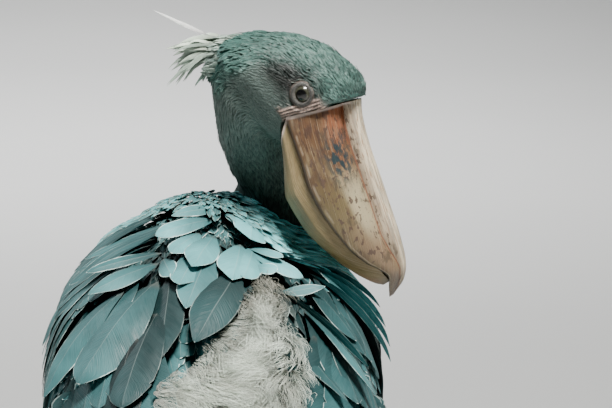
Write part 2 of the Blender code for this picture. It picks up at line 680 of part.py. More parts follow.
def build():
    for old in list(bpy.data.objects):
        bpy.data.objects.remove(old)
    trunk()
    trunk_cutter = trunk("trunk_cutter", None, GAP)
    skull = head()
    head_cutter = head("head_cutter", None, GAP)
    bill_upper()
    bill_lower()
    for side_name, side in SIDES:
        eye(side_name, side)
        cut_away(skull, eye(side_name, side, GAP))
    throat = neck()
    cut_away(throat, trunk_cutter, head_cutter)
    neck_cutter = neck("neck_cutter", None, 3 * GAP)
    for side_name, side in SIDES:
        wing(side_name, side, neck_cutter)
        cut_away(scapulars(side_name, side), neck_cutter)
        cut_away(leg(side_name, side), trunk_cutter, wing_cutter(side_name, side))
        foot(side_name, side)
    cut_away(tail(), trunk_cutter)
    crest_piece = crest()
    cut_away(crest_piece, head_cutter, neck_cutter)
    cut_away(breast_plumes(), neck_cutter, trunk_cutter)
    centre_on_floor()


build()
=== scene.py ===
"""The looks of a life-size shoebill: skin, feathers, bill, eyes, scaled legs, claws and a studio.

Metres, +Z up. The bird faces -Y, so its right side is at -X. Stations run along the trunk from
the breast (0) to the vent (1), and angles on it are degrees from the back's middle, positive on
the bird's left.
"""

import functools
import math
import time

import bmesh
import bpy
import numpy as np
from mathutils import Matrix, Vector
from mathutils.bvhtree import BVHTree


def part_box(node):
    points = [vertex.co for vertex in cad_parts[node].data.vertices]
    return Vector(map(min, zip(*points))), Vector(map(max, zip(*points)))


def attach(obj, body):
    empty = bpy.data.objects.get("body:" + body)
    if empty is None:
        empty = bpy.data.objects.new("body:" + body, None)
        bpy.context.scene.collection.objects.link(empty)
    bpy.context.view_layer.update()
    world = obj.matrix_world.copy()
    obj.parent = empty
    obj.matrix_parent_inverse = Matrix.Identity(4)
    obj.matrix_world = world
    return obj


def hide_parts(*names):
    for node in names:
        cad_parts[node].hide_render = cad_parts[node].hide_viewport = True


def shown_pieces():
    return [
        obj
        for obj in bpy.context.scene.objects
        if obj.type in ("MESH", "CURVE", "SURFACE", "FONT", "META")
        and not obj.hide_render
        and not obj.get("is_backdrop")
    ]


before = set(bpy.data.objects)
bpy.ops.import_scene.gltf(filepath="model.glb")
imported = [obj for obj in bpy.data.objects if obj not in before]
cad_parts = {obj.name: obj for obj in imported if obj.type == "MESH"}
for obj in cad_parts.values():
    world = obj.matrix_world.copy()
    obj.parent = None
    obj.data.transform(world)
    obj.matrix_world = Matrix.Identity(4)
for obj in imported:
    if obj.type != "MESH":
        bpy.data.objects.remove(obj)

bl_info = {
    "name": "Shoebill",
    "version": (1, 0, 0),
    "blender": (4, 5, 0),
    "location": "3D View > Sidebar > Shoebill",
    "description": "Feathers, bill, eyes and legs for a life-size shoebill",
    "category": "Object",
}

SIDES = (("left", 1), ("right", -1))
X_AXIS = np.array((1.0, 0.0, 0.0))
Z_AXIS = np.array((0.0, 0.0, 1.0))

# The part's own anatomy, in the frame that its feet give
ANKLE = np.array((0.100, 0.012, 0.030))
FOOT_LOW, FOOT_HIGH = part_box("foot_left")
SHIFT = (np.array(FOOT_LOW) + np.array(FOOT_HIGH)) / 2 - ANKLE
SHIFT[2] = FOOT_LOW[2]

BREAST = np.array((-0.018, -0.205, 0.785))
VENT = np.array((0.002, 0.170, 0.470))
TRUNK_LENGTH = np.linalg.norm(VENT - BREAST)
TRUNK_AXIS = (VENT - BREAST) / TRUNK_LENGTH
TRUNK_UP = np.cross(X_AXIS, TRUNK_AXIS)
TRUNK_WIDTH = ((-0.10, 0.0), (-0.06, 0.046), (0.04, 0.088), (0.15, 0.114), (0.30, 0.131),
               (0.5, 0.135), (0.75, 0.116), (0.95, 0.074), (1.08, 0.038), (1.6, 0.030))
TRUNK_BACK = ((-0.10, 0.0), (-0.06, 0.042), (0.04, 0.088), (0.20, 0.124), (0.42, 0.142),
              (0.75, 0.128), (0.95, 0.094), (1.08, 0.060), (1.6, 0.030))
TRUNK_BELLY = ((-0.10, 0.0), (-0.06, 0.046), (0.04, 0.094), (0.25, 0.136), (0.5, 0.138),
               (0.75, 0.114), (0.95, 0.070), (1.08, 0.040), (1.6, 0.020))

HEAD_AT = np.array((-0.102, -0.073, 0.941))
HEAD_TURN = math.radians(116)
BILL_DROP = math.radians(57.5)
CULMEN = ((0.0, 0.0605), (0.022, 0.053), (0.05, 0.0460), (0.081, 0.0395), (0.127, 0.0290),
          (0.163, 0.0205), (0.184, 0.0130), (0.197, 0.0025), (0.2055, -0.016))
TOMIUM = ((0.0, 0.0), (0.022, -0.0055), (0.043, -0.010), (0.074, -0.0175), (0.107, -0.0205),
          (0.139, -0.0195), (0.164, -0.0145), (0.176, -0.0085), (0.186, -0.0055),
          (0.196, -0.0125), (0.2055, -0.0195))
KEEL = ((0.0, -0.028), (0.03, -0.045), (0.06, -0.0535), (0.10, -0.055), (0.14, -0.0465),
        (0.17, -0.035), (0.186, -0.025), (0.192, -0.019))
UPPER_WIDTH = ((0.0, 0.0495), (0.03, 0.0500), (0.07, 0.0490), (0.11, 0.0430), (0.145, 0.0335),
               (0.17, 0.0225), (0.188, 0.0125), (0.2055, 0.0030))
LOWER_WIDTH = ((0.0, 0.0485), (0.07, 0.0470), (0.11, 0.0405), (0.145, 0.0300), (0.17, 0.0190),
               (0.184, 0.0110), (0.192, 0.0040))
RIDGE_WIDTH = 0.0135
RIDGE_DROP = 0.0130
HOOK_START = 0.176
CHIN_SLANT = 0.9
BROW_SLANT = 0.345
BILL_SLANT_REACH = 0.070
EYE_AT = np.array((-0.0105, 0.0405, 0.0270))
EYE_RADIUS = 0.0115

NECK_ROUTE = np.array(((-0.034, -0.150, 0.720), (-0.086, -0.188, 0.790), (-0.103, -0.180, 0.850),
                       (-0.072, -0.152, 0.900), (-0.063, -0.108, 0.945), (-0.055, -0.097, 0.976)))
WING_TOP_EDGE = ((-0.02, 66), (0.10, 50), (0.30, 37), (0.52, 30), (0.75, 28), (0.98, 33),
                 (1.25, 50), (1.38, 64), (1.44, 78))
RIGHT_WING_DROOP = ((-0.02, 0), (0.30, 4), (0.52, 13), (0.98, 9), (1.44, 0))
WING_LOW_EDGE = ((-0.02, 84), (0.10, 112), (0.30, 126), (0.52, 128), (0.75, 124), (0.98, 120),
                 (1.25, 112), (1.38, 104), (1.44, 94))
WING_STANDOFF = ((-0.02, 0.002), (0.30, 0.003), (0.60, 0.012), (0.98, 0.024), (1.25, 0.042),
                 (1.44, 0.048))
WING_THICKNESS = ((-0.02, 0.010), (0.10, 0.020), (0.30, 0.028), (0.75, 0.018), (1.05, 0.011),
                  (1.44, 0.004))
WING_EDGE_SHARE = 0.22
WING_CROWN = 0.7
TAIL_ROOT = np.array((0, 0.170, 0.500))
TAIL_TIP = np.array((0, 0.330, 0.316))
PLUME_ROUTE = ((-0.106, -0.222, 0.872), (-0.122, -0.242, 0.822), (-0.130, -0.250, 0.768),
               (-0.138, -0.244, 0.712))
PLUME_RADII = (0.028, 0.050, 0.050, 0.012)
PLUME_DEPTH = 0.42
PLUME_FACE = np.array((-0.30, -0.95, 0))
TOES = ("hallux", "inner", "middle", "outer")
FLESH = (["head", "neck", "trunk"]
         + [f"{part}_{side}" for part in ("thigh", "shank", "foot") for side, _ in SIDES]
         + [f"toe_{side}_{toe}" for side, _ in SIDES for toe in TOES])
SEED = 7


def colour_setting(name, description, value):
    """A colour that a user may change."""
    return bpy.props.FloatVectorProperty(name=name, description=description, subtype="COLOR",
                                         default=value, min=0, max=1)


def length_setting(name, description, value):
    """A length that a user may change."""
    return bpy.props.FloatProperty(name=name, description=description, subtype="DISTANCE",
                                   unit="LENGTH", default=value, min=0.001, max=0.2)


class ShoebillColours(bpy.types.PropertyGroup):
    """The bird's colours."""
    body: colour_setting("Body", "Blue-grey of the back and wings", (0.040, 0.118, 0.124))
    pale: colour_setting("Belly", "Pale grey of the belly and thighs", (0.20, 0.30, 0.30))
    throat: colour_setting("Throat", "Slate of the mantle beside the neck", (0.045, 0.080, 0.084))
    cap: colour_setting("Cap", "Grey of the crown, nape and crest", (0.026, 0.076, 0.064))
    cheek: colour_setting("Cheek", "Dark grey of the cheeks and neck", (0.092, 0.128, 0.114))
    flight: colour_setting("Flight feathers", "Grey of the wing and tail quills",
                      (0.034, 0.076, 0.085))
    fringe: colour_setting("Fringe", "Pale edge of the feathers", (0.62, 0.78, 0.74))
    shaft: colour_setting("Shaft", "Shafts of the feathers", (0.36, 0.42, 0.40))
    lore: colour_setting("Lores", "Bare skin between eye and bill", (0.18, 0.130, 0.108))
    leg: colour_setting("Legs", "Scaled skin of the legs and feet", (0.045, 0.048, 0.047))
    bill: colour_setting("Bill", "Horn of the bill's sides", (0.105, 0.054, 0.025))
    ridge: colour_setting("Bill ridge", "Pale horn along the bill's ridge", (0.72, 0.62, 0.46))
    down: colour_setting("Down", "Loose down that shows on the back", (0.88, 0.97, 0.87))
    iris: colour_setting("Iris", "Lightest colour of the eye", (0.048, 0.049, 0.034))


class ShoebillSizes(bpy.types.PropertyGroup):
    """How long the small feathers are, and how close they stand."""
    closeness: bpy.props.FloatProperty(
        name="Closeness", description="How close the small feathers stand", default=1.0,
        min=0.3, max=1.5, subtype="FACTOR")
    cap: length_setting("Cap feathers", "Length of the feathers on the crown", 0.0085)
    neck: length_setting("Neck feathers", "Length of the feathers on the neck", 0.016)
    mantle: length_setting("Mantle feathers", "Length of the feathers at the neck's base", 0.018)
    body: length_setting("Body feathers", "Length of the feathers on the trunk", 0.036)
    arm: length_setting("Arm feathers", "Length of the feathers on the wing's front", 0.026)
    thigh: length_setting("Thigh feathers", "Length of the feathers on the thighs", 0.026)
    scales: length_setting("Leg scales", "Length of the scales on the legs", 0.0045)


def tint(name):
    return np.array(getattr(bpy.context.scene.shoebill_colours, name))


def measure(name):
    return getattr(bpy.context.scene.shoebill_sizes, name)


def along(knots, at):
    """Values at an array of stations, on a smooth curve through (station, value) knots."""
    x, y = np.array(knots, float).T
    at = np.clip(np.asarray(at, float), x[0], x[-1])
    i = np.clip(np.searchsorted(x, at, side="right") - 1, 0, len(x) - 2)
    run = np.diff(x)
    rise = np.diff(y) / run
    product, total = rise[:-1] * rise[1:], rise[:-1] + rise[1:]
    middle = np.where(product > 0, 2 * product / np.where(total == 0, 1, total), 0)
    slope = np.concatenate((rise[:1], middle, rise[-1:]))
    t = (at - x[i]) / run[i]
    return (y[i] * (1 + 2 * t) * (1 - t) ** 2 + run[i] * slope[i] * t * (1 - t) ** 2
            + y[i + 1] * t * t * (3 - 2 * t) + run[i] * slope[i + 1] * t * t * (t - 1))


def unit(vectors):
    """The vectors at length 1."""
    vectors = np.asarray(vectors, float)
    return vectors / np.maximum(np.linalg.norm(vectors, axis=-1, keepdims=True), 1e-12)


def smooth(low, high, value):
    """0 below low, 1 above high and an S-curve between."""
    t = np.clip((value - low) / (high - low), 0, 1)
    return t * t * (3 - 2 * t)


def body_point(station, angle, lift=0.0):
    """Points on the trunk's surface, or lift above it."""
    station, turn = np.asarray(station, float), np.radians(angle)
    width = along(TRUNK_WIDTH, station) + lift
    back, belly = along(TRUNK_BACK, station), along(TRUNK_BELLY, station)
    height = np.where(np.cos(turn) > 0, back, belly) + lift
    return (BREAST + SHIFT + np.multiply.outer(station * TRUNK_LENGTH, TRUNK_AXIS)
            + np.multiply.outer(width * np.sin(turn), X_AXIS)
            + np.multiply.outer(height * np.cos(turn), TRUNK_UP))


def body_place(points):
    """Each point's station, angle and height over the trunk's surface."""
    apart = points - BREAST - SHIFT
    station = apart @ TRUNK_AXIS / TRUNK_LENGTH
    rise = apart @ TRUNK_UP
    width = np.maximum(along(TRUNK_WIDTH, station), 0.01)
    height = np.maximum(np.where(rise > 0, along(TRUNK_BACK, station),
                                 along(TRUNK_BELLY, station)), 0.01)
    out = np.hypot(apart[:, 0] / width, rise / height)
    return station, np.degrees(np.arctan2(apart[:, 0] / width, rise / height)), (
        (out - 1) * (width + height) / 2)


def wing_point(side, station, share, above=0.0):
    """Points on a wing's outer face, from its upper edge (share 0) to its lower one (1)."""
    droop = along(RIGHT_WING_DROOP, station) if side < 0 else 0
    top, low = along(WING_TOP_EDGE, station) + droop, along(WING_LOW_EDGE, station)
    full = np.sin(np.pi * np.clip(share, 0.0, 1.0)) ** WING_CROWN
    crown = WING_EDGE_SHARE + (1 - WING_EDGE_SHARE) * full
    lift = along(WING_STANDOFF, station) + along(WING_THICKNESS, station) * crown + above
    return body_point(station, side * (top + (low - top) * share), lift)


def head_axes():
    """The head's forward, left and crown directions, as rows."""
    level = np.array((-math.sin(HEAD_TURN), -math.cos(HEAD_TURN), 0))
    forward = level * math.cos(BILL_DROP) - Z_AXIS * math.sin(BILL_DROP)
    crown = level * math.sin(BILL_DROP) + Z_AXIS * math.cos(BILL_DROP)
    return np.array((forward, np.cross(crown, forward), crown))


HEAD_AXES = head_axes()


def from_head(points):
    """Points of the head's own frame, in the world."""
    return np.asarray(points, float) @ HEAD_AXES + HEAD_AT + SHIFT


def to_head(points):
    return (np.asarray(points, float) - HEAD_AT - SHIFT) @ HEAD_AXES.T


class Sketch:
    """Adds nodes to a tree. A value may be a number, a vector or another node's socket."""

    def __init__(self, tree):
        self.tree = tree

    def node(self, kind, values=(), **settings):
        made = self.tree.nodes.new(kind)
        for name, value in settings.items():
            setattr(made, name, value)
        open_inputs = [socket for socket in made.inputs if socket.enabled]
        named = values.items() if isinstance(values, dict) else enumerate(values)
        for name, value in named:
            if value is None:
                continue
            socket = open_inputs[name] if isinstance(name, int) else made.inputs[name]
            if isinstance(value, bpy.types.NodeSocket):
                self.tree.links.new(value, socket)
            else:
                socket.default_value = value
        return made

    def out(self, kind, values=(), **settings):
        made = self.node(kind, values, **settings)
        return next(socket for socket in made.outputs if socket.enabled)

    def math(self, operation, *values):
        return self.out("ShaderNodeMath", values, operation=operation)

    def vector(self, operation, *values):
        return self.out("ShaderNodeVectorMath", values, operation=operation)

    def scaled(self, vector, by):
        made = self.tree.nodes.new("ShaderNodeVectorMath")
        made.operation = "SCALE"
        for socket, value in ((made.inputs[0], vector), (made.inputs["Scale"], by)):
            if isinstance(value, bpy.types.NodeSocket):
                self.tree.links.new(value, socket)
            else:
                socket.default_value = value
        return made.outputs[0]

    def total(self, *vectors):
        result = vectors[0]
        for vector in vectors[1:]:
            result = self.vector("ADD", result, vector)
        return result

    def ramp(self, value, low, high, to_low=0.0, to_high=1.0):
        """The value's place between low and high on an S-curve."""
        return self.out("ShaderNodeMapRange", (value, low, high, to_low, to_high),
                        interpolation_type="SMOOTHSTEP")

    def mix(self, share, first, second, blend="MIX"):
        made = self.tree.nodes.new("ShaderNodeMix")
        made.data_type = "RGBA"
        made.blend_type = blend
        for name, value in ((0, share), (6, first), (7, second)):
            if isinstance(value, bpy.types.NodeSocket):
                self.tree.links.new(value, made.inputs[name])
            else:
                made.inputs[name].default_value = value if name == 0 else (*value[:3], 1)
        return made.outputs[2]

    def noise(self, vector, scale, detail=2.0, roughness=0.5):
        return self.out("ShaderNodeTexNoise", {"Vector": vector, "Scale": scale,
                                               "Detail": detail, "Roughness": roughness})


def new_finish(name, roughness, **steady):
    """A material, its sketch and its shader, with the values that are the same all over."""
    made = bpy.data.materials.new(name)
    made.use_nodes = True
    sketch = Sketch(made.node_tree)
    shader = made.node_tree.nodes["Principled BSDF"]
    shader.inputs["Roughness"].default_value = roughness
    for socket, value in steady.items():
        shader.inputs[socket.replace("_", " ")].default_value = value
    return made, sketch, shader


def finish_surface(sketch, shader, colour, height, depth, roughness=None):
    """Joins the colour, a bump of the given depth in metres and a roughness to the shader."""
    links = sketch.tree.links
    links.new(colour, shader.inputs["Base Color"])
    bump = sketch.out("ShaderNodeBump", {"Height": height, "Distance": depth, "Strength": 1.0})
    links.new(bump, shader.inputs["Normal"])
    if roughness is not None:
        links.new(roughness, shader.inputs["Roughness"])


def object_point(sketch):
    return sketch.node("ShaderNodeTexCoord").outputs["Object"]


def attribute(sketch, name, kind="Fac"):
    return sketch.node("ShaderNodeAttribute", attribute_name=name).outputs[kind]


def feather_finish(name, fringe, fringe_width, shaft, shaft_width, barbs, streak, down,
                   down_reach):
    """Vanes with slanting barbs, a pale fringe and a pale shaft over their own colour, with painted shade
    toward the root and broad patches of painted sheen and shade.
    """
    made, sketch, shader = new_finish(name, 0.50, Specular_IOR_Level=0.28, Sheen_Weight=0.04,
                                      Sheen_Roughness=0.4)
    place = sketch.node("ShaderNodeSeparateXYZ",
                        [sketch.node("ShaderNodeUVMap", uv_map="vane").outputs[0]])
    off = sketch.math("ABSOLUTE", sketch.math("MULTIPLY_ADD", place.outputs[0], 2.0, -1.0))
    up = place.outputs[1]
    half = sketch.math("MULTIPLY", attribute(sketch, "width"), 0.5)
    reach = attribute(sketch, "reach")
    seed = attribute(sketch, "seed")
    across = sketch.math("MULTIPLY", off, half)
    lengthwise = sketch.math("MULTIPLY", up, reach)
    barb = sketch.math("SUBTRACT", lengthwise, sketch.math("MULTIPLY", across, 0.9))
    fine = sketch.node("ShaderNodeCombineXYZ", [sketch.math("MULTIPLY", barb, 900.0),
                                                sketch.math("MULTIPLY", across, 60.0),
                                                sketch.math("MULTIPLY", seed, 91.0)]).outputs[0]
    broad = sketch.node("ShaderNodeCombineXYZ", [sketch.math("MULTIPLY", barb, 190.0),
                                                 sketch.math("MULTIPLY", across, 26.0),
                                                 sketch.math("MULTIPLY", seed, 53.0)]).outputs[0]
    hairs = sketch.noise(fine, 1.0, 1.0)
    bands = sketch.noise(broad, 1.0, 2.0)
    wide = sketch.noise(object_point(sketch), 22.0, 3.0)
    tone = sketch.math("MULTIPLY_ADD", sketch.math("SUBTRACT", hairs, 0.5), streak, 1.0)
    tone = sketch.math("MULTIPLY_ADD", sketch.math("SUBTRACT", bands, 0.5), streak * 0.7, tone)
    # Broad soft patches, lighter and darker across the vanes: painted sheen and shade on top of random tone.
    tone = sketch.math("MULTIPLY_ADD", sketch.math("SUBTRACT", wide, 0.5), 1.3, tone)
    tone = sketch.math("MULTIPLY_ADD", sketch.math("SUBTRACT", seed, 0.5), 0.30, tone)
    # Painted shade: each vane is darker toward its root, where the feather over it shades it, and lighter
    # toward its tip.
    tone = sketch.math("MULTIPLY", tone, sketch.ramp(up, 0.05, 0.85, 0.50, 1.18))
    marking = attribute(sketch, "marking", "Color")
    colour = sketch.scaled(marking, tone)
    glow = sketch.ramp(sketch.vector("DOT_PRODUCT", marking, (0.2, 0.6, 0.2)), 0.0, 0.11)
    patchy = sketch.ramp(sketch.noise(object_point(sketch), 80.0, 2.0), 0.38, 0.60, 0.42, 1.25)
    fringe = sketch.scaled(tuple(fringe), sketch.math("MULTIPLY", glow, patchy))
    base = sketch.ramp(up, down_reach * 0.3, down_reach, 1.0, 0.0)
    colour = sketch.mix(sketch.math("MULTIPLY", base, 0.8), colour, down)
    side_gap = sketch.math("MULTIPLY", sketch.math("SUBTRACT", 1.0, off), half)
    end_gap = sketch.math("MULTIPLY", sketch.math("SUBTRACT", 1.0, up),
                          sketch.math("MULTIPLY", reach, 0.8))
    rim = sketch.ramp(sketch.math("MINIMUM", side_gap, end_gap), fringe_width * 0.4,
                      fringe_width, 1.0, 0.0)
    outer = sketch.math("MULTIPLY", rim, sketch.ramp(up, 0.3, 0.6))
    colour = sketch.mix(sketch.math("MULTIPLY", outer, 0.85), colour, fringe)
    stem = sketch.ramp(across, shaft_width * 0.5, shaft_width, 1.0, 0.0)
    stem = sketch.math("MULTIPLY", stem, sketch.ramp(up, 0.9, 1.0, 1.0, 0.2))
    colour = sketch.mix(sketch.math("MULTIPLY", stem, 0.16), colour, shaft)
    height = sketch.math("ADD", sketch.math("MULTIPLY", hairs, barbs),
                         sketch.math("MULTIPLY", bands, 0.3))
    finish_surface(sketch, shader, colour, height, 0.0005,
                   sketch.ramp(bands, 0.2, 0.8, 0.40, 0.62))
    return made


def vane_mesh(name, outline, rows, across, notches=(), thick=0.012, shaft=0.014, shaft_at=0.0):
    """A closed vane, 1 long and 1 wide, with a raised shaft, an under side and two end
    points. A notch is the place along it, the side and the depth where barbs have parted."""
    places = list(1 - (1 - np.linspace(0, 1, rows)) ** 1.35)
    for at, _, _ in notches:
        places += [at - 0.030, at, at + 0.008]
    places = sorted(set(np.clip(places, 0.004, 0.996)) - {0.004, 0.996})
    bm = bmesh.new()
    layer = bm.loops.layers.uv.new("vane")
    spot = {}

    def add(point, u, t):
        vert = bm.verts.new(point)
        spot[vert] = (0.5 + 0.5 * u, t)
        return vert

    def widths(t):
        both = []
        for side in (-1, 1):
            half = 0.5 * float(along(outline, t))
            for at, which, depth in notches:
                if which == side:
                    gap = max(0.0, 1 - abs(t - at) / (0.030 if t < at else 0.008))
                    half *= 1 - depth * gap
            both.append(half * (1 - side * shaft_at))
        return both

    rings = []
    for t in places:
        low, high = widths(t)
        top = [add((t, (low if u < 0 else high) * u, thick * (1 - u * u) + shaft * (u == 0)), u, t)
               for u in across]
        rings.append(top + [add((t, 0, -thick), 0, t)])
    ends = [add((t, 0, 0), 0, t) for t in (0, 1)]
    count = len(rings[0])
    for low, high in zip(rings, rings[1:]):
        for i in range(count):
            j = (i + 1) % count
            bm.faces.new((low[i], high[i], high[j], low[j]))
    for i in range(count):
        j = (i + 1) % count
        bm.faces.new((ends[0], rings[0][i], rings[0][j]))
        bm.faces.new((rings[-1][i], ends[1], rings[-1][j]))
    bmesh.ops.recalc_face_normals(bm, faces=bm.faces)
    for face in bm.faces:
        face.smooth = True
        for loop in face.loops:
            loop[layer].uv = spot[loop.vert]
    mesh = bpy.data.meshes.new(name)
    bm.to_mesh(mesh)
    bm.free()
    mesh.set_sharp_from_angle(angle=math.radians(75))
    return mesh


def tuft_mesh(name, strands, rows, spread, curl, thin, rng):
    """A lock of down: curled strands that part and meet again, each closed."""
    bm = bmesh.new()
    layer = bm.loops.layers.uv.new("vane")
    phase, swing = rng.uniform(0, 6.28), rng.uniform(0.6, 1) * curl
    for n in range(strands):
        lean = spread * (2 * (n + rng.uniform(0.2, 0.8)) / strands - 1)
        lift = rng.uniform(0.0, 0.55)
        own = phase + rng.uniform(-0.5, 0.5)
        length = rng.uniform(0.60, 1.0)
        rings = []
        for t in np.linspace(0, 1, rows):
            y = lean * math.sin(math.pi * (t * 0.72 + 0.08)) + swing * math.sin(
                own + 2.6 * t) * t
            z = lift * math.sin(math.pi * t * 0.7) + swing * math.cos(own + 2.2 * t) * t
            size = thin * (0.5 + 1.6 * t * (1 - t)) * (1.15 - t)
            rings.append([bm.verts.new((length * t, y + 1.5 * size * math.cos(turn),
                                        z + size * math.sin(turn)))
                          for turn in (0.5, 2.6, 4.7)])
        for low, high in zip(rings, rings[1:]):
            for i in range(3):
                j = (i + 1) % 3
                bm.faces.new((low[i], high[i], high[j], low[j]))
        bm.faces.new(rings[0])
        bm.faces.new(rings[-1])
    bmesh.ops.recalc_face_normals(bm, faces=bm.faces)
    for face in bm.faces:
        face.smooth = True
        for loop in face.loops:
            loop[layer].uv = (0.5, min(max(loop.vert.co.x, 0), 1))
    mesh = bpy.data.meshes.new(name)
    bm.to_mesh(mesh)
    bm.free()
    return mesh


ROUND_VANE = ((0, 0.16), (0.15, 0.50), (0.40, 0.86), (0.70, 1.0), (0.86, 0.88), (0.95, 0.58),
              (1, 0.10))
BROAD_VANE = ((0, 0.14), (0.12, 0.42), (0.35, 0.84), (0.60, 1.0), (0.77, 0.93), (0.88, 0.68),
              (0.96, 0.34), (1, 0.04))
SPADE_VANE = ((0, 0.14), (0.15, 0.45), (0.38, 0.90), (0.55, 1.0), (0.68, 0.93), (0.80, 0.70),
              (0.90, 0.42), (0.97, 0.16), (1, 0.03))
LONG_VANE = ((0, 0.22), (0.10, 0.55), (0.30, 0.84), (0.65, 1.0), (0.86, 0.88), (0.95, 0.60),
             (1, 0.08))
LANCE_VANE = ((0, 0.35), (0.25, 0.85), (0.50, 1.0), (0.80, 0.55), (1, 0.06))
SCALE_VANE = ((0, 0.70), (0.30, 1.0), (0.75, 0.95), (1, 0.50))
FINE_ACROSS = (-1, -0.72, -0.40, -0.05, 0, 0.05, 0.40, 0.72, 1)
MID_ACROSS = (-1, -0.5, 0, 0.5, 1)
PLAIN_ACROSS = (-1, 0, 1)


MIXED_SHAPES = 6
# Kinds of vane: outline, rows, places across, shapes, notches, thickness, shaft height
VANES = {
    "broad": (BROAD_VANE, 18, FINE_ACROSS, 5, 1, 0.007, 0.009),
    "long": (LONG_VANE, 20, FINE_ACROSS, 5, 2, 0.009, 0.011),
    "mixed": (BROAD_VANE, 18, FINE_ACROSS, MIXED_SHAPES, 1, 0.007, 0.009),
    "round": (ROUND_VANE, 7, MID_ACROSS, 3, 1, 0.014, 0.014),
    "small": (ROUND_VANE, 5, PLAIN_ACROSS, 1, 0, 0.030, 0.020),
    "lance": (LANCE_VANE, 7, PLAIN_ACROSS, 1, 0, 0.060, 0.050),
    "hair": (LANCE_VANE, 4, PLAIN_ACROSS, 1, 0, 0.080, 0.060),
    "scale": (SCALE_VANE, 4, PLAIN_ACROSS, 1, 0, 0.120, 0.020),
}


@functools.cache
def vanes(kind):
    """A hidden collection of a few shapes of one kind, one of which each feather takes."""
    rng = np.random.default_rng(SEED)
    if kind == "fluff":
        meshes = [tuft_mesh(f"fluff_{n}", 17, 5, 0.48, 0.20, 0.015, rng) for n in range(5)]
    else:
        outline, rows, across, shapes, most, thick, shaft = VANES[kind]
        meshes = []
        for n in range(shapes):
            shape = SPADE_VANE if kind == "mixed" and n % 2 else outline
            notches = [(rng.uniform(0.35, 0.9), int(rng.choice((-1, 1))), rng.uniform(0.05, 0.16))
                       for _ in range(min(n // 2, most))]
            meshes.append(vane_mesh(f"{kind}_{n}", shape, rows, across, notches, thick, shaft,
                                    rng.uniform(-0.1, 0.1)))
    kit = bpy.data.collections.new(kind)
    for n, mesh in enumerate(meshes):
        kit.objects.link(bpy.data.objects.new(f"{kind}_{n}", mesh))
    return kit


def tree_with(name, *inputs):
    """A geometry tree with the given named inputs and one geometry output."""
    tree = bpy.data.node_groups.new(name, "GeometryNodeTree")
    tree.interface.new_socket(name="Geometry", in_out="OUTPUT",
                              socket_type="NodeSocketGeometry")
    for label, kind in inputs:
        tree.interface.new_socket(name=label, in_out="INPUT", socket_type="NodeSocket" + kind)
    sketch = Sketch(tree)
    given = sketch.node("NodeGroupInput").outputs
    return tree, sketch, given


def named(sketch, name, kind="FLOAT_VECTOR"):
    return sketch.out("GeometryNodeInputNamedAttribute", {"Name": name}, data_type=kind)


def stored(sketch, geometry, name, value, kind="FLOAT_VECTOR", domain="POINT"):
    made = sketch.node("GeometryNodeStoreNamedAttribute", data_type=kind, domain=domain)
    made.inputs["Name"].default_value = name
    sketch.tree.links.new(geometry, made.inputs["Geometry"])
    sketch.tree.links.new(value, made.inputs["Value"])
    return made.outputs[0]


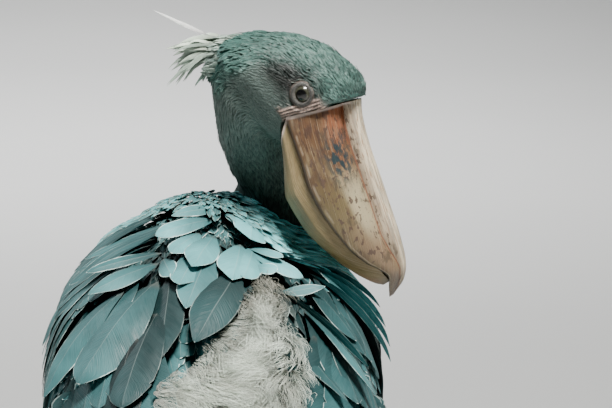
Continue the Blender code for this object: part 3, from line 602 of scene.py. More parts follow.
def bent_vanes(sketch, given, points):
    """Puts a vane on each point and bends it along the point's own curve: from its root,
    toward its bend, to its tip, with its outer side toward its face."""
    kit = sketch.node("GeometryNodeCollectionInfo", {"Collection": given["Vanes"],
                                                     "Separate Children": True,
                                                     "Reset Children": True}).outputs[0]
    pick = sketch.out("FunctionNodeFloatToInt",
                      [sketch.math("MULTIPLY", named(sketch, "seed", "FLOAT"), 97.0)])
    placed = sketch.node("GeometryNodeInstanceOnPoints",
                         {"Points": points, "Instance": kit, "Pick Instance": True,
                          "Instance Index": pick}).outputs[0]
    solid = sketch.node("GeometryNodeRealizeInstances", [placed]).outputs[0]
    root, bend, tip = (named(sketch, name) for name in ("root", "bend", "tip"))
    local = sketch.vector("SUBTRACT", sketch.node("GeometryNodeInputPosition").outputs[0],
                          named(sketch, "start"))
    parts = sketch.node("ShaderNodeSeparateXYZ", [local]).outputs
    t, y, z = parts[0], parts[1], parts[2]
    width = named(sketch, "width", "FLOAT")
    left = sketch.math("SUBTRACT", 1.0, t)
    near = sketch.vector("SUBTRACT", bend, root)
    far = sketch.vector("SUBTRACT", tip, bend)
    both = sketch.math("MULTIPLY", sketch.math("MULTIPLY", left, t), 2.0)
    spine = sketch.total(sketch.scaled(root, sketch.math("MULTIPLY", left, left)),
                         sketch.scaled(bend, both),
                         sketch.scaled(tip, sketch.math("MULTIPLY", t, t)))
    heading = sketch.vector("NORMALIZE", sketch.total(sketch.scaled(near, left),
                                                      sketch.scaled(far, t)))
    side = sketch.vector("NORMALIZE",
                         sketch.vector("CROSS_PRODUCT", named(sketch, "face"), heading))
    out = sketch.vector("CROSS_PRODUCT", heading, side)
    roll = named(sketch, "roll", "FLOAT")
    turned_side = sketch.total(sketch.scaled(side, sketch.math("COSINE", roll)),
                               sketch.scaled(out, sketch.math("SINE", roll)))
    turned_out = sketch.vector("CROSS_PRODUCT", heading, turned_side)
    off = sketch.math("MULTIPLY", y, 2.0)
    sag = sketch.math("MULTIPLY", sketch.math("MULTIPLY", off, off),
                      named(sketch, "camber", "FLOAT"))
    height = sketch.math("SUBTRACT", sketch.math("MULTIPLY", z, width), sag)
    place = sketch.total(spine, sketch.scaled(turned_side, sketch.math("MULTIPLY", y, width)),
                         sketch.scaled(turned_out, height))
    wave = sketch.node("ShaderNodeTexNoise", {"Vector": place, "Scale": given["Ruffle Scale"],
                                              "Detail": 1.0}).outputs["Color"]
    push = sketch.math("MULTIPLY", given["Ruffle"], sketch.math("MULTIPLY", t, t))
    place = sketch.vector("ADD", place, sketch.scaled(
        sketch.vector("SUBTRACT", wave, (0.5, 0.5, 0.5)), push))
    shape = sketch.node("GeometryNodeSetPosition", {"Geometry": solid, "Position": place})
    patch = sketch.node("ShaderNodeCombineXYZ", [t, sketch.math("ADD", y, 0.5), 0.0]).outputs[0]
    bake = sketch.vector("ADD", named(sketch, "patch"),
                         sketch.scaled(patch, given["Patch Size"]))
    mapped = stored(sketch, shape.outputs[0], "OFBake", bake, "FLOAT2", "CORNER")
    for name in ("root", "bend", "tip", "face", "start", "roll", "camber", "patch", "lie",
                 "lift"):
        mapped = sketch.node("GeometryNodeRemoveAttribute",
                             {"Geometry": mapped, "Name": name}).outputs[0]
    final = sketch.node("GeometryNodeSetMaterial", {"Geometry": mapped,
                                                    "Material": given["Finish"]}).outputs[0]
    sketch.node("NodeGroupOutput", [final])


VANE_INPUTS = (("Vanes", "Collection"), ("Finish", "Material"), ("Ruffle", "Float"),
               ("Ruffle Scale", "Float"), ("Patch Size", "Float"))


@functools.cache
def laid_tree():
    """Feathers whose curves are already stored on the points."""
    tree, sketch, given = tree_with("Laid feathers", ("Geometry", "Geometry"), *VANE_INPUTS)
    points = sketch.node("GeometryNodeMeshToPoints", {"Mesh": given["Geometry"]}).outputs[0]
    at = sketch.node("GeometryNodeInputPosition").outputs[0]
    bent_vanes(sketch, given, stored(sketch, points, "start", at))
    return tree


@functools.cache
def scattered_tree():
    """Small feathers over the skin, each lying the way its place on the skin says."""
    tree, sketch, given = tree_with(
        "Scattered feathers", ("Geometry", "Geometry"), *VANE_INPUTS, ("Cover", "String"),
        ("Spacing", "Float"), ("Slimness", "Float"), ("Length", "Float"), ("Sink", "Float"),
        ("Stray", "Float"), ("Roll", "Float"), ("Lift", "Float"), ("Camber", "Float"),
        ("Seed", "Int"))
    skin = given["Geometry"]
    mask = sketch.out("GeometryNodeInputNamedAttribute", {"Name": given["Cover"]},
                      data_type="FLOAT")
    spread = sketch.node("GeometryNodeDistributePointsOnFaces",
                         {"Mesh": skin, "Distance Min": given["Spacing"],
                          "Density Max": sketch.math("DIVIDE", 3.0, sketch.math(
                              "MULTIPLY", given["Spacing"], given["Spacing"])),
                          "Density Factor": mask, "Seed": given["Seed"]},
                         distribute_method="POISSON")
    points, normal = spread.outputs["Points"], spread.outputs["Normal"]

    def chance(low, high, stream):
        return sketch.out("FunctionNodeRandomValue", (low, high, None, stream),
                          data_type="FLOAT")

    points = stored(sketch, points, "face", normal)
    points = stored(sketch, points, "seed", chance(0, 1, 1), "FLOAT")
    face = named(sketch, "face")
    at = sketch.node("GeometryNodeInputPosition").outputs[0]
    points = stored(sketch, points, "start", at)
    way = named(sketch, "lie")
    way = sketch.vector("NORMALIZE", sketch.vector("SUBTRACT", way, sketch.scaled(
        face, sketch.vector("DOT_PRODUCT", face, way))))
    turn = sketch.math("MULTIPLY", chance(-1, 1, 2), given["Stray"])
    way = sketch.total(sketch.scaled(way, sketch.math("COSINE", turn)),
                       sketch.scaled(sketch.vector("CROSS_PRODUCT", face, way),
                                     sketch.math("SINE", turn)))
    long = sketch.math("MULTIPLY", sketch.math("MULTIPLY", named(sketch, "reach", "FLOAT"),
                                               given["Length"]), chance(0.82, 1.18, 3))
    points = stored(sketch, points, "reach", long, "FLOAT")
    long = named(sketch, "reach", "FLOAT")
    lift = sketch.math("MULTIPLY", sketch.math("MULTIPLY", long, given["Lift"]),
                       chance(0.6, 1.4, 4))
    root = sketch.vector("SUBTRACT", at, sketch.scaled(face, given["Sink"]))

    def over_skin(share, up):
        goal = sketch.vector("ADD", at, sketch.scaled(way, sketch.math("MULTIPLY", long, share)))
        near = sketch.tree.nodes.new("GeometryNodeProximity")
        near.target_element = "FACES"
        sketch.tree.links.new(skin, near.inputs[0])
        source = next(s for s in near.inputs if "Position" in s.name)
        sketch.tree.links.new(goal, source)
        return sketch.vector("ADD", near.outputs["Position"], sketch.scaled(face, up))

    points = stored(sketch, points, "root", root)
    points = stored(sketch, points, "bend",
                    over_skin(0.5, sketch.math("MULTIPLY", lift, 0.9)))
    points = stored(sketch, points, "tip", over_skin(1.0, lift))
    wide = sketch.math("MULTIPLY", long, given["Slimness"])
    points = stored(sketch, points, "width", wide, "FLOAT")
    points = stored(sketch, points, "roll",
                    sketch.math("MULTIPLY", chance(-1, 1, 5), given["Roll"]), "FLOAT")
    points = stored(sketch, points, "camber", sketch.math("MULTIPLY", wide, given["Camber"]),
                    "FLOAT")
    points = stored(sketch, points, "patch", named(sketch, "unwrap"))
    bent_vanes(sketch, given, points)
    return tree


def realised(name, source, tree, **values):
    """A plain mesh piece from what a node tree makes of the source mesh."""
    host = bpy.data.objects.new(name + "_host", source)
    bpy.context.scene.collection.objects.link(host)
    growth = host.modifiers.new("growth", "NODES")
    growth.node_group = tree
    for socket in tree.interface.items_tree:
        label = socket.name.replace(" ", "_")
        if socket.in_out == "INPUT" and label in values:
            growth[socket.identifier] = values[label]
    depsgraph = bpy.context.evaluated_depsgraph_get()
    mesh = bpy.data.meshes.new_from_object(host.evaluated_get(depsgraph),
                                           preserve_all_data_layers=True, depsgraph=depsgraph)
    host.modifiers.clear()
    bpy.data.objects.remove(host)
    mesh.name = name
    piece = bpy.data.objects.new(name, mesh)
    bpy.context.scene.collection.objects.link(piece)
    return piece


def riding(piece, slot, *nodes):
    """The finished piece rides on the bird and stands for the nodes."""
    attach(piece, "root")
    if nodes:
        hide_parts(*nodes)
    return piece


SKIN_PATCH = 0.003


class Layer:
    """Feathers laid one by one, each from its root over its middle to its tip."""

    def __init__(self, seed):
        self.rng = np.random.default_rng(seed)
        self.rows = []

    def lay(self, root, middle, tip, face, width, colour, camber=0.0, roll=0.0, shape=None):
        self.rows.append((root, middle, tip, face, width, colour, camber, roll, shape))

    def mesh(self, name, on_skin=False):
        """A mesh of one point for each feather, with its curve as attributes. A large feather
        has its own cell of the bake map, and a tuft its root's place on the skin's."""
        root, middle, tip, face = (np.array([row[k] for row in self.rows]) for k in range(4))
        width, colour, camber, roll = ([row[k] for row in self.rows] for k in range(4, 8))
        count = len(self.rows)
        made = bpy.data.meshes.new(name)
        made.from_pydata([tuple(p) for p in root], [], [])
        grid = math.ceil(math.sqrt(count))
        cell = np.arange(count)
        patch = np.stack(((cell % grid + 0.04) / grid, (cell // grid + 0.04) / grid,
                          np.zeros(count)), 1)
        if on_skin:
            patch = skin_places(root)
        bend = 2 * middle - (root + tip) / 2
        reach = (np.linalg.norm(middle - root, axis=1) + np.linalg.norm(tip - middle, axis=1))
        seeds = self.rng.uniform(0, 1, count)
        for n, row in enumerate(self.rows):
            if row[8] is not None:
                seeds[n] = (int(seeds[n] * 16) * MIXED_SHAPES + row[8] + 0.5) / 97
        values = {"root": root, "bend": bend, "tip": tip, "face": face, "patch": patch,
                  "width": width, "camber": camber, "roll": roll, "reach": reach,
                  "seed": seeds}
        for label, value in values.items():
            value = np.asarray(value, float)
            kind, field = (("FLOAT_VECTOR", "vector") if value.ndim == 2 else ("FLOAT", "value"))
            made.attributes.new(label, kind, "POINT").data.foreach_set(field, value.ravel())
        paint = np.ones((count, 4))
        paint[:, :3] = colour
        made.attributes.new("marking", "FLOAT_COLOR", "POINT").data.foreach_set(
            "color", paint.ravel())
        return made, SKIN_PATCH if on_skin else 0.92 / grid


def skin_places(points):
    """Each point's place on the skin's unwrap."""
    piece = bpy.data.objects["skin"]
    tree = BVHTree.FromObject(piece, bpy.context.evaluated_depsgraph_get())
    held = piece.data.attributes["unwrap"].data
    corners = [piece.data.polygons[tree.find_nearest(point)[2]].loop_start for point in points]
    return np.array([held[corner].vector for corner in corners])


def flesh_regions(points):
    """How much of each region every point belongs to, and its nearest piece of the neck."""
    weights = {}
    for region, nodes in (("head", ["head"]), ("neck", ["neck"]), ("trunk", ["trunk"]),
                          ("arm", [f"wing_{s}_coverts" for s, _ in SIDES]),
                          ("thigh", [f"thigh_{s}" for s, _ in SIDES]),
                          ("leg", FLESH[5:])):
        trees = [BVHTree.FromObject(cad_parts[node],
                                    bpy.context.evaluated_depsgraph_get()) for node in nodes]
        gaps = [min(tree.find_nearest(point)[3] for tree in trees) for point in points]
        weights[region] = np.exp(-np.array(gaps) / 0.005)
    total = sum(weights.values())
    return {region: weight / total for region, weight in weights.items()}


def neck_heading(points):
    """The neck's direction, from the trunk up to the head, beside each point."""
    route = NECK_ROUTE + SHIFT
    starts, steps = route[:-1], np.diff(route, axis=0)
    apart = points[:, None] - starts[None]
    share = np.clip((apart * steps).sum(2) / (steps ** 2).sum(1), 0, 1)
    gap = np.linalg.norm(apart - share[..., None] * steps, axis=2)
    weight = np.exp(-gap / 0.01)
    return unit((weight[..., None] * unit(steps)).sum(1))


def arm_solid(side_name):
    """The covert node as a solid arm: its inner face is sunk into the trunk."""
    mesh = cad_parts[f"wing_{side_name}_coverts"].data.copy()
    points = np.array([v.co for v in mesh.vertices])
    station, angle, height = body_place(points)
    inner = height < along(WING_STANDOFF, station) + 0.0015
    points[inner] = body_point(station[inner], angle[inner], -0.012)
    mesh.vertices.foreach_set("co", points.ravel())
    return mesh


def join_flesh():
    """One mesh of all the nodes of flesh and the arms, each a little swollen so that they
    meet, with the eye sockets filled for the lids."""
    bm = bmesh.new()
    for mesh in ([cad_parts[node].data for node in FLESH]
                 + [arm_solid(side_name) for side_name, _ in SIDES]):
        part = bmesh.new()
        part.from_mesh(mesh)
        bmesh.ops.remove_doubles(part, verts=part.verts, dist=1e-5)
        part.normal_update()
        for vert in part.verts:
            vert.co += vert.normal * SWELL
        swollen = bpy.data.meshes.new("swollen")
        part.to_mesh(swollen)
        part.free()
        bm.from_mesh(swollen)
        bpy.data.meshes.remove(swollen)
    for _, side in SIDES:
        place = Matrix.Translation(Vector(from_head(EYE_AT * (1, side, 1))))
        bmesh.ops.create_icosphere(bm, subdivisions=4, radius=EYE_RADIUS + 0.0012, matrix=place)
    joined = bpy.data.meshes.new("flesh")
    bm.to_mesh(joined)
    bm.free()
    return joined


SWELL = 0.0009
SKIN_VOXEL = 0.0036
SKIN_SMOOTHING = 6


def remeshed(mesh):
    """The mesh as one even skin without inner walls."""
    host = bpy.data.objects.new("flesh", mesh)
    bpy.context.scene.collection.objects.link(host)
    grid = host.modifiers.new("grid", "REMESH")
    grid.mode = "VOXEL"
    grid.voxel_size = SKIN_VOXEL
    depsgraph = bpy.context.evaluated_depsgraph_get()
    made = bpy.data.meshes.new_from_object(host.evaluated_get(depsgraph), depsgraph=depsgraph)
    bpy.data.objects.remove(host)
    bm = bmesh.new()
    bm.from_mesh(made)
    left = set(bm.verts)
    islands = []
    while left:
        stack, island = [left.pop()], []
        while stack:
            vert = stack.pop()
            island.append(vert)
            for edge in vert.link_edges:
                other = edge.other_vert(vert)
                if other in left:
                    left.remove(other)
                    stack.append(other)
        islands.append(island)
    islands.sort(key=len)
    bmesh.ops.delete(bm, geom=[v for island in islands[:-1] for v in island], context="VERTS")
    return bm


def near_face_edges(bm, reach):
    """Edges round either eye and between it and the bill, within reach of the eye."""
    eyes = [Vector(from_head(EYE_AT * (1, side, 1) + (0.004, 0, -0.006))) for _, side in SIDES]
    chosen = [e for e in bm.edges if min((e.verts[0].co - eye).length for eye in eyes) < reach]
    return chosen


def relax(points, edges, rounds, push=0.5):
    """Evens the points out along the edges without shrinking them: in, then out again."""
    count = np.bincount(edges.ravel(), minlength=len(points))[:, None]
    for step in (push, -push * 1.03) * rounds:
        total = np.zeros_like(points)
        np.add.at(total, edges[:, 0], points[edges[:, 1]])
        np.add.at(total, edges[:, 1], points[edges[:, 0]])
        points = points + step * (total / np.maximum(count, 1) - points)
    return points


LID_TILT = math.radians(60.6)
LID_WIDENING = 0.90
LID_OPENING = 0.0079
LID_THICKNESS = 0.0008
LID_SINK = 0.0018


def lid_distance(b, u):
    """Distance from the eye's middle, a little shorter along the bill than across it, so
    that the opening is an oval."""
    long = (b - EYE_AT[0]) * math.cos(LID_TILT) + (u - EYE_AT[2]) * math.sin(LID_TILT)
    short = (b - EYE_AT[0]) * math.sin(LID_TILT) - (u - EYE_AT[2]) * math.cos(LID_TILT)
    return np.hypot(long, short * LID_WIDENING)


def lidded(points):
    """The skin drawn over each eyeball as its lids, and sunk under it inside their opening."""
    head = to_head(points)
    for _, side in SIDES:
        apart = head - EYE_AT * (1, side, 1)
        gap = np.linalg.norm(apart, axis=1)
        over = smooth(LID_OPENING - 0.0004, LID_OPENING + 0.0004,
                      lid_distance(head[:, 0], head[:, 2]))
        lid = np.maximum(gap, EYE_RADIUS + LID_THICKNESS)
        goal = over * lid + (1 - over) * (EYE_RADIUS - LID_SINK)
        near = (side * apart[:, 1] > 0) & (gap < EYE_RADIUS + 0.006)
        head += unit(apart) * ((goal - gap) * near)[:, None]
    return from_head(head)


def face_relief(points):
    """How far the bare face stands out: a lid ring round each eye, a brow over it and
    creases between the eye and the bill."""
    head = to_head(points)
    rise = np.zeros(len(points))
    b, across, u = head.T
    for _, side in SIDES:
        eye = EYE_AT * (1, side, 1)
        flat = lid_distance(b, u)
        near = (side * across > 0.02).astype(float)
        lid = np.exp(-((flat - 0.0092) / 0.0016) ** 2) * 0.0010
        fold = np.exp(-((flat - 0.0135) / 0.0016) ** 2) * -0.0007
        ring = np.exp(-((flat - 0.0160) / 0.0016) ** 2) * 0.0005
        brow = (np.exp(-(((u - eye[2] - 0.0155 + 0.35 * (b - eye[0])) / 0.0045) ** 2
                         + ((b - eye[0] - 0.004) / 0.016) ** 2))) * 0.0035
        lore = (smooth(-0.010, 0.0, b) * smooth(0.045, 0.030, u) * smooth(-0.012, -0.004, u)
                * smooth(0.0125, 0.0155, flat))
        creases = np.sin((b - BROW_SLANT * u * 0.75) / LORE_FOLD * 2 * np.pi
                         + 1.5 * np.sin(u * 210)) * 0.0005
        rise += near * (lid + fold + ring + brow + lore * creases)
    return rise


def paint_attribute(mesh, name, values, kind="FLOAT"):
    fields = {"FLOAT": "value", "FLOAT_VECTOR": "vector", "FLOAT_COLOR": "color"}
    values = np.asarray(values, float)
    if kind == "FLOAT_COLOR":
        values = np.column_stack((values, np.ones(len(values))))
    mesh.attributes.new(name, kind, "POINT").data.foreach_set(fields[kind], values.ravel())


def bare_face(points):
    """1 on the bare skin round the eye and behind the bill, fading to 0 on the feathers."""
    b, across, u = to_head(points).T
    bare = np.zeros(len(points))
    for _, side in SIDES:
        ring = smooth(0.0128, 0.0108, lid_distance(b, u))
        strip = (smooth(-0.0098, -0.0080, b - BROW_SLANT * u * 0.75)
                 * smooth(0.042, 0.034, u) * smooth(-0.006, -0.001, u))
        bare = np.maximum(bare, np.where(side * across > 0.012, np.maximum(ring, strip), 0))
    return bare


def skin_attributes(mesh, points):
    """Stores the lie, length and colour of the coat, and where each kind of it grows."""
    weights = flesh_regions(points)
    b, across, u = to_head(points).T
    station, angle, _ = body_place(points)
    turn = np.abs(angle)
    count = len(points)
    forward, _, crown = HEAD_AXES
    rear = smooth(-0.040, -0.085, b)
    fall = np.clip(np.abs(across) * 12, 0, 0.5) + rear
    flows = {"head": unit(-np.outer(1 - 0.85 * rear, forward) - np.outer(fall, crown)),
             "neck": -neck_heading(points),
             "trunk": np.tile(unit(TRUNK_AXIS * 1.0 - Z_AXIS * 0.15), (count, 1)),
             "arm": np.tile(unit(TRUNK_AXIS * 1.0 - Z_AXIS * 0.1), (count, 1)),
             "thigh": np.tile(unit((0, 0.15, -1.0)), (count, 1)),
             "leg": np.tile(unit((0, 0.0, -1.0)), (count, 1))}
    lie = sum(weights[region][:, None] * flow for region, flow in flows.items())
    face = weights["head"] + weights["neck"]
    nape = smooth(-0.054, -0.066, b) * smooth(-0.060, -0.045, u)
    cap = face * np.maximum(smooth(-0.004, 0.005, u - along(CAP_EDGE, b)), nape)
    # Painted shade round and behind each eye, under the overhang of the brow.
    brow_shade = (np.exp(-((b + 0.042) / 0.016) ** 2 - ((u - 0.014) / 0.014) ** 2)
              + np.exp(-((b + 0.016) / 0.017) ** 2 - ((u - 0.028) / 0.014) ** 2)
              + np.exp(-((b + 0.030) / 0.013) ** 2 - ((u - 0.026) / 0.009) ** 2))
    bare = bare_face(points) * weights["head"]
    flank = np.where(angle < 0, 84, 60)
    mantle = weights["trunk"] * smooth(0.34, 0.24, station) * smooth(0, -15, turn - flank)
    down = (weights["trunk"] * smooth(-0.02, 0.01, station - along(DOWN_EDGE, angle))
            * smooth(DOWN_END, DOWN_END - 0.1, station) * smooth(50, 40, turn))
    at_mantle = smooth(0.30, 0.20, station) * smooth(70, 45, turn)
    lengths = {"head": measure("cap") * (1 + 0.5 * rear + 1.9 * smooth(-0.072, -0.092, b)),
               "neck": measure("neck"),
               "trunk": measure("body") + (measure("mantle") - measure("body")) * at_mantle,
               "arm": measure("arm") * (1 + 0.45 * smooth(0.2, 0.5, station)),
               "thigh": measure("thigh"), "leg": measure("scales")}
    length = sum(weights[region] * reach for region, reach in lengths.items())
    length = length * (1 - 0.30 * (weights["head"] - cap).clip(0, 1))
    under = smooth(95, 150, turn)
    # The cap and cheek colours, darkened by the painted brow shade.
    on_cap = (tint("cheek") + np.multiply.outer(cap, tint("cap") - tint("cheek"))) * (
        1 - 0.90 * np.clip(brow_shade, 0, 1))[:, None]
    low_neck = smooth(0.0, 0.07, b) * smooth(-0.03, -0.08, u)
    # Painted shade: the trunk's coat is darker where the shoulder feathers lie over it.
    shade_under_shoulders = smooth(0.11, 0.17, station) * smooth(0.42, 0.34, station) * smooth(60, 42, turn)
    colours = {"head": on_cap, "neck": on_cap * (1 - 0.25 * low_neck)[:, None],
               "trunk": (tint("body") + np.multiply.outer(under, tint("pale") - tint("body"))
                         + np.multiply.outer(smooth(-0.01, -0.06, station),
                                             tint("throat") - tint("body"))
                         ) * (1 - 0.8 * shade_under_shoulders)[:, None],
               "arm": np.tile(tint("body"), (count, 1)), "thigh": np.tile(tint("pale") * 0.8, (count, 1)),
               "leg": np.tile(tint("leg"), (count, 1))}
    marking = sum(weights[region][:, None] * colour for region, colour in colours.items())
    marking += down[:, None] * (tint("down") * 0.5 - marking)
    ringed = lid_distance(b, u)
    # Painted shade: the coat is darker round each eye.
    marking *= (1 - 0.5 * weights["head"] * smooth(0.034, 0.017, ringed))[:, None]
    marking = marking * (1 - bare[:, None]) + tint("lore") * bare[:, None]
    paint_attribute(mesh, "lie", lie, "FLOAT_VECTOR")
    paint_attribute(mesh, "reach", length)
    paint_attribute(mesh, "bare", bare)
    paint_attribute(mesh, "fold", (b - BROW_SLANT * u * 0.75) / LORE_FOLD)
    paint_attribute(mesh, "blush", 0.9 * smooth(0.0105, 0.0135, ringed))
    marking[:] += (bare * smooth(0.0135, 0.0105, ringed))[:, None] * (
        (0.5 + 0.5 * np.cos((ringed - 0.0080) * 2 * np.pi / 0.0023))[:, None]
        * np.array((0.055, 0.050, 0.040))
        + 0.030 - marking)
    paint_attribute(mesh, "marking", marking, "FLOAT_COLOR")
    solid = 1 - smooth(0.2, 0.6, bare)
    paint_attribute(mesh, "grow_cap", smooth(0.25, 0.6, cap) * solid)
    paint_attribute(mesh, "grow_cheek", smooth(0.35, 0.5, weights["head"] - cap) * solid)
    paint_attribute(mesh, "grow_neck", smooth(0.3, 0.5, weights["neck"] - cap))
    paint_attribute(mesh, "grow_mantle", smooth(0.2, 0.5, mantle))
    paint_attribute(mesh, "grow_body", smooth(0.4, 0.5, weights["trunk"] - mantle - down))
    paint_attribute(mesh, "grow_arm", smooth(0.4, 0.5, weights["arm"]))
    paint_attribute(mesh, "grow_thigh", smooth(0.4, 0.5, weights["thigh"]))
    sole = smooth(0.004, 0.008, points[:, 2])
    paint_attribute(mesh, "grow_scales", smooth(0.5, 0.7, weights["leg"]) * sole)
    return weights


# The cap's lower edge in the head's own frame: how far forward, and how far toward the crown
CAP_EDGE = ((-0.12, -0.070), (-0.085, -0.034), (-0.078, -0.008), (-0.060, 0.008),
            (-0.040, 0.016), (-0.021, 0.030), (0.005, 0.044))
# The station where the loose down begins, at each angle round the back
DOWN_EDGE = ((-44, 0.58), (-37, 0.42), (-30, 0.32), (-20, 0.29), (-12, 0.34), (-4, 0.42), (4, 0.47),
             (12, 0.52), (20, 0.55), (26, 0.60), (36, 0.80))
DOWN_END = 0.96
LORE_FOLD = 0.0034
CROWN_FLAT = 0.0030
COAT_DEPTH = (("head", 0.0024), ("neck", 0.0024), ("trunk", 0.0090), ("arm", 0.0080),
              ("thigh", 0.0050), ("leg", 0.0004))


def skin_finish():
    """Bare skin: grey under the coat, pinkish and creased round the eye, scaled on the leg."""
    made, sketch, shader = new_finish("skin", 0.6, Subsurface_Weight=0.03,
                                      Subsurface_Scale=0.004)
    place = object_point(sketch)
    bare = attribute(sketch, "bare")
    wide = sketch.noise(place, 60.0, 4.0)
    fine = sketch.noise(place, 420.0, 3.0)
    scales = sketch.out("ShaderNodeTexVoronoi", {"Vector": place, "Scale": 380.0},
                        feature="DISTANCE_TO_EDGE")
    colour = sketch.scaled(attribute(sketch, "marking", "Color"),
                           sketch.ramp(wide, 0.3, 0.7, 0.7, 1.25))
    fold = sketch.math("SINE", sketch.math("MULTIPLY_ADD", wide, 6.0, sketch.math(
        "MULTIPLY", attribute(sketch, "fold"), 2 * math.pi)))
    pink = sketch.mix(sketch.ramp(fold, -0.8, 0.9), tint("lore") * 0.35, tint("lore") * 1.7)
    colour = sketch.mix(sketch.math("MULTIPLY", bare, attribute(sketch, "blush")), colour, pink)
    groove = sketch.ramp(scales, 0.0, 0.12)
    colour = sketch.mix(sketch.math("MULTIPLY", sketch.math("SUBTRACT", 1.0, groove), 0.5),
                        colour, (0.012, 0.012, 0.012))
    height = sketch.math("ADD", sketch.math("MULTIPLY", groove, 0.5),
                         sketch.math("MULTIPLY", fine, 0.6))
    finish_surface(sketch, shader, colour, height, 0.0006, sketch.ramp(fine, 0.2, 0.8, 0.5, 0.75))
    return made


def skin():
    """One skin for the whole bird, under its coat."""
    bm = remeshed(join_flesh())
    bmesh.ops.triangulate(bm, faces=[f for f in bm.faces if len(f.verts) > 4])
    for reach in (0.032, 0.022):
        bmesh.ops.subdivide_edges(bm, edges=near_face_edges(bm, reach), cuts=1,
                                  use_grid_fill=True)
    bmesh.ops.triangulate(bm, faces=[f for f in bm.faces if len(f.verts) != 4])
    mesh = bpy.data.meshes.new("skin")
    bm.to_mesh(mesh)
    bm.free()
    points = np.empty(len(mesh.vertices) * 3)
    mesh.vertices.foreach_get("co", points)
    points = points.reshape(-1, 3)
    edges = np.empty(len(mesh.edges) * 2, int)
    mesh.edges.foreach_get("vertices", edges)
    edges = edges.reshape(-1, 2)
    points = relax(points, edges, SKIN_SMOOTHING)
    weights = skin_attributes(mesh, points)
    bare = bare_face(points) * weights["head"]
    depth = sum(weights[region] * size for region, size in COAT_DEPTH)
    b, across, u = to_head(points).T
    depth = depth + CROWN_FLAT * np.exp(-((b + 0.090) / 0.012) ** 2 - ((u - 0.006) / 0.020) ** 2)
    depth = depth * (1 - bare) + SWELL
    mesh.vertices.foreach_set("co", points.ravel())
    mesh.update()
    normals = np.empty(len(points) * 3)
    mesh.vertex_normals.foreach_get("vector", normals)
    normals = normals.reshape(-1, 3)
    rise = face_relief(points) * weights["head"] - depth
    points = lidded(points + normals * rise[:, None])
    points[:, 2] = np.maximum(points[:, 2], 0)
    mesh.vertices.foreach_set("co", points.ravel())
    mesh.shade_smooth()
    made = bpy.data.objects.new("skin", mesh)
    bpy.context.scene.collection.objects.link(made)
    mesh.materials.append(skin_finish())
    unwrap(made)
    return riding(made, "plumage", *FLESH)


def unwrap(piece):
    """An unwrap of the skin's own shape. The coat keeps each root's place on it."""
    bpy.context.view_layer.objects.active = piece
    piece.select_set(True)
    piece.data.uv_layers.new(name="OFBake")
    bpy.ops.object.mode_set(mode="EDIT")
    bpy.ops.mesh.select_all(action="SELECT")
    bpy.ops.uv.smart_project(angle_limit=math.radians(66), island_margin=0.002)
    bpy.ops.object.mode_set(mode="OBJECT")
    piece.select_set(False)
    flat = np.empty(len(piece.data.loops) * 2)
    piece.data.uv_layers["OFBake"].data.foreach_get("uv", flat)
    held = piece.data.attributes.new("unwrap", "FLOAT_VECTOR", "CORNER")
    held.data.foreach_set("vector", np.column_stack((flat.reshape(-1, 2),
                                                     np.zeros(len(flat) // 2))).ravel())


def bill_ring(profile, count):
    """A smooth outline of one half of the bill, through its few profile points."""
    profile = np.array(profile)
    gaps = np.linalg.norm(np.diff(profile, axis=0), axis=1)
    places = np.concatenate(((0,), np.cumsum(np.maximum(gaps, 1e-6))))
    at = np.linspace(0, places[-1], count)
    return np.stack([along(np.stack((places, profile[:, k]), 1), at) for k in range(2)], 1)


def upper_profile(station):
    """The upper bill's half outline: across and height, from the ridge to the mouth."""
    top, edge, width = (float(along(knots, station)) for knots in (CULMEN, TOMIUM, UPPER_WIDTH))
    ridge = min(RIDGE_WIDTH, 0.42 * width)
    drop = min(RIDGE_DROP, 0.30 * (top - edge))
    shoulder = top - drop
    groove = 0.0013 * min(1.0, ridge / RIDGE_WIDTH)
    profile = [(0.0, top), (0.35 * ridge, top - 0.04 * drop), (0.70 * ridge, top - 0.22 * drop),
               (0.92 * ridge, top - 0.48 * drop), (0.98 * ridge, top - 0.72 * drop),
               (1.06 * ridge - groove, shoulder - 0.1 * drop)]
    for share in (0.10, 0.22, 0.36, 0.50, 0.65, 0.80, 0.92, 1.0):
        out = ridge + (width - ridge) * math.sin(0.5 * math.pi * share ** 0.85)
        profile.append((out, shoulder + (edge - shoulder) * share ** 1.25))
    profile.append((0.97 * width, edge + 0.0002))
    profile.append((0.80 * width, edge + 0.0012))
    return profile


def lower_profile(station):
    """The lower bill's half outline, from the mouth round to the keel."""
    edge = float(along(TOMIUM, min(station, HOOK_START))) - 0.0008
    bottom = min(float(along(KEEL, station)), edge - 0.002)
    width = float(along(LOWER_WIDTH, station))
    profile = [(0.80 * width, edge - 0.0008), (0.94 * width, edge - 0.0002)]
    for lean in np.linspace(0.10, 0.5, 9) * math.pi:
        profile.append((width * math.cos(lean) ** 0.62 if lean < 0.499 * math.pi else 0.0,
                        edge + (bottom - edge) * math.sin(lean) ** 0.80))
    return profile


def bill_slanted(points):
    """Head-frame points, moved forward by the slant of the edge where the face begins."""
    slant = np.where(points[:, 2] > 0, BROW_SLANT * points[:, 2], -CHIN_SLANT * points[:, 2])
    fade = np.clip(1 - np.abs(points[:, 0]) / BILL_SLANT_REACH, 0, 1)
    moved = points.copy()
    moved[:, 0] += slant * fade
    return moved


RIDGE_CORNER = 5  # the profile point where the ridge meets the bill's side
CREASE_REACH = 0.0010
BILL_RINGS = 130
BILL_SIDES = 96


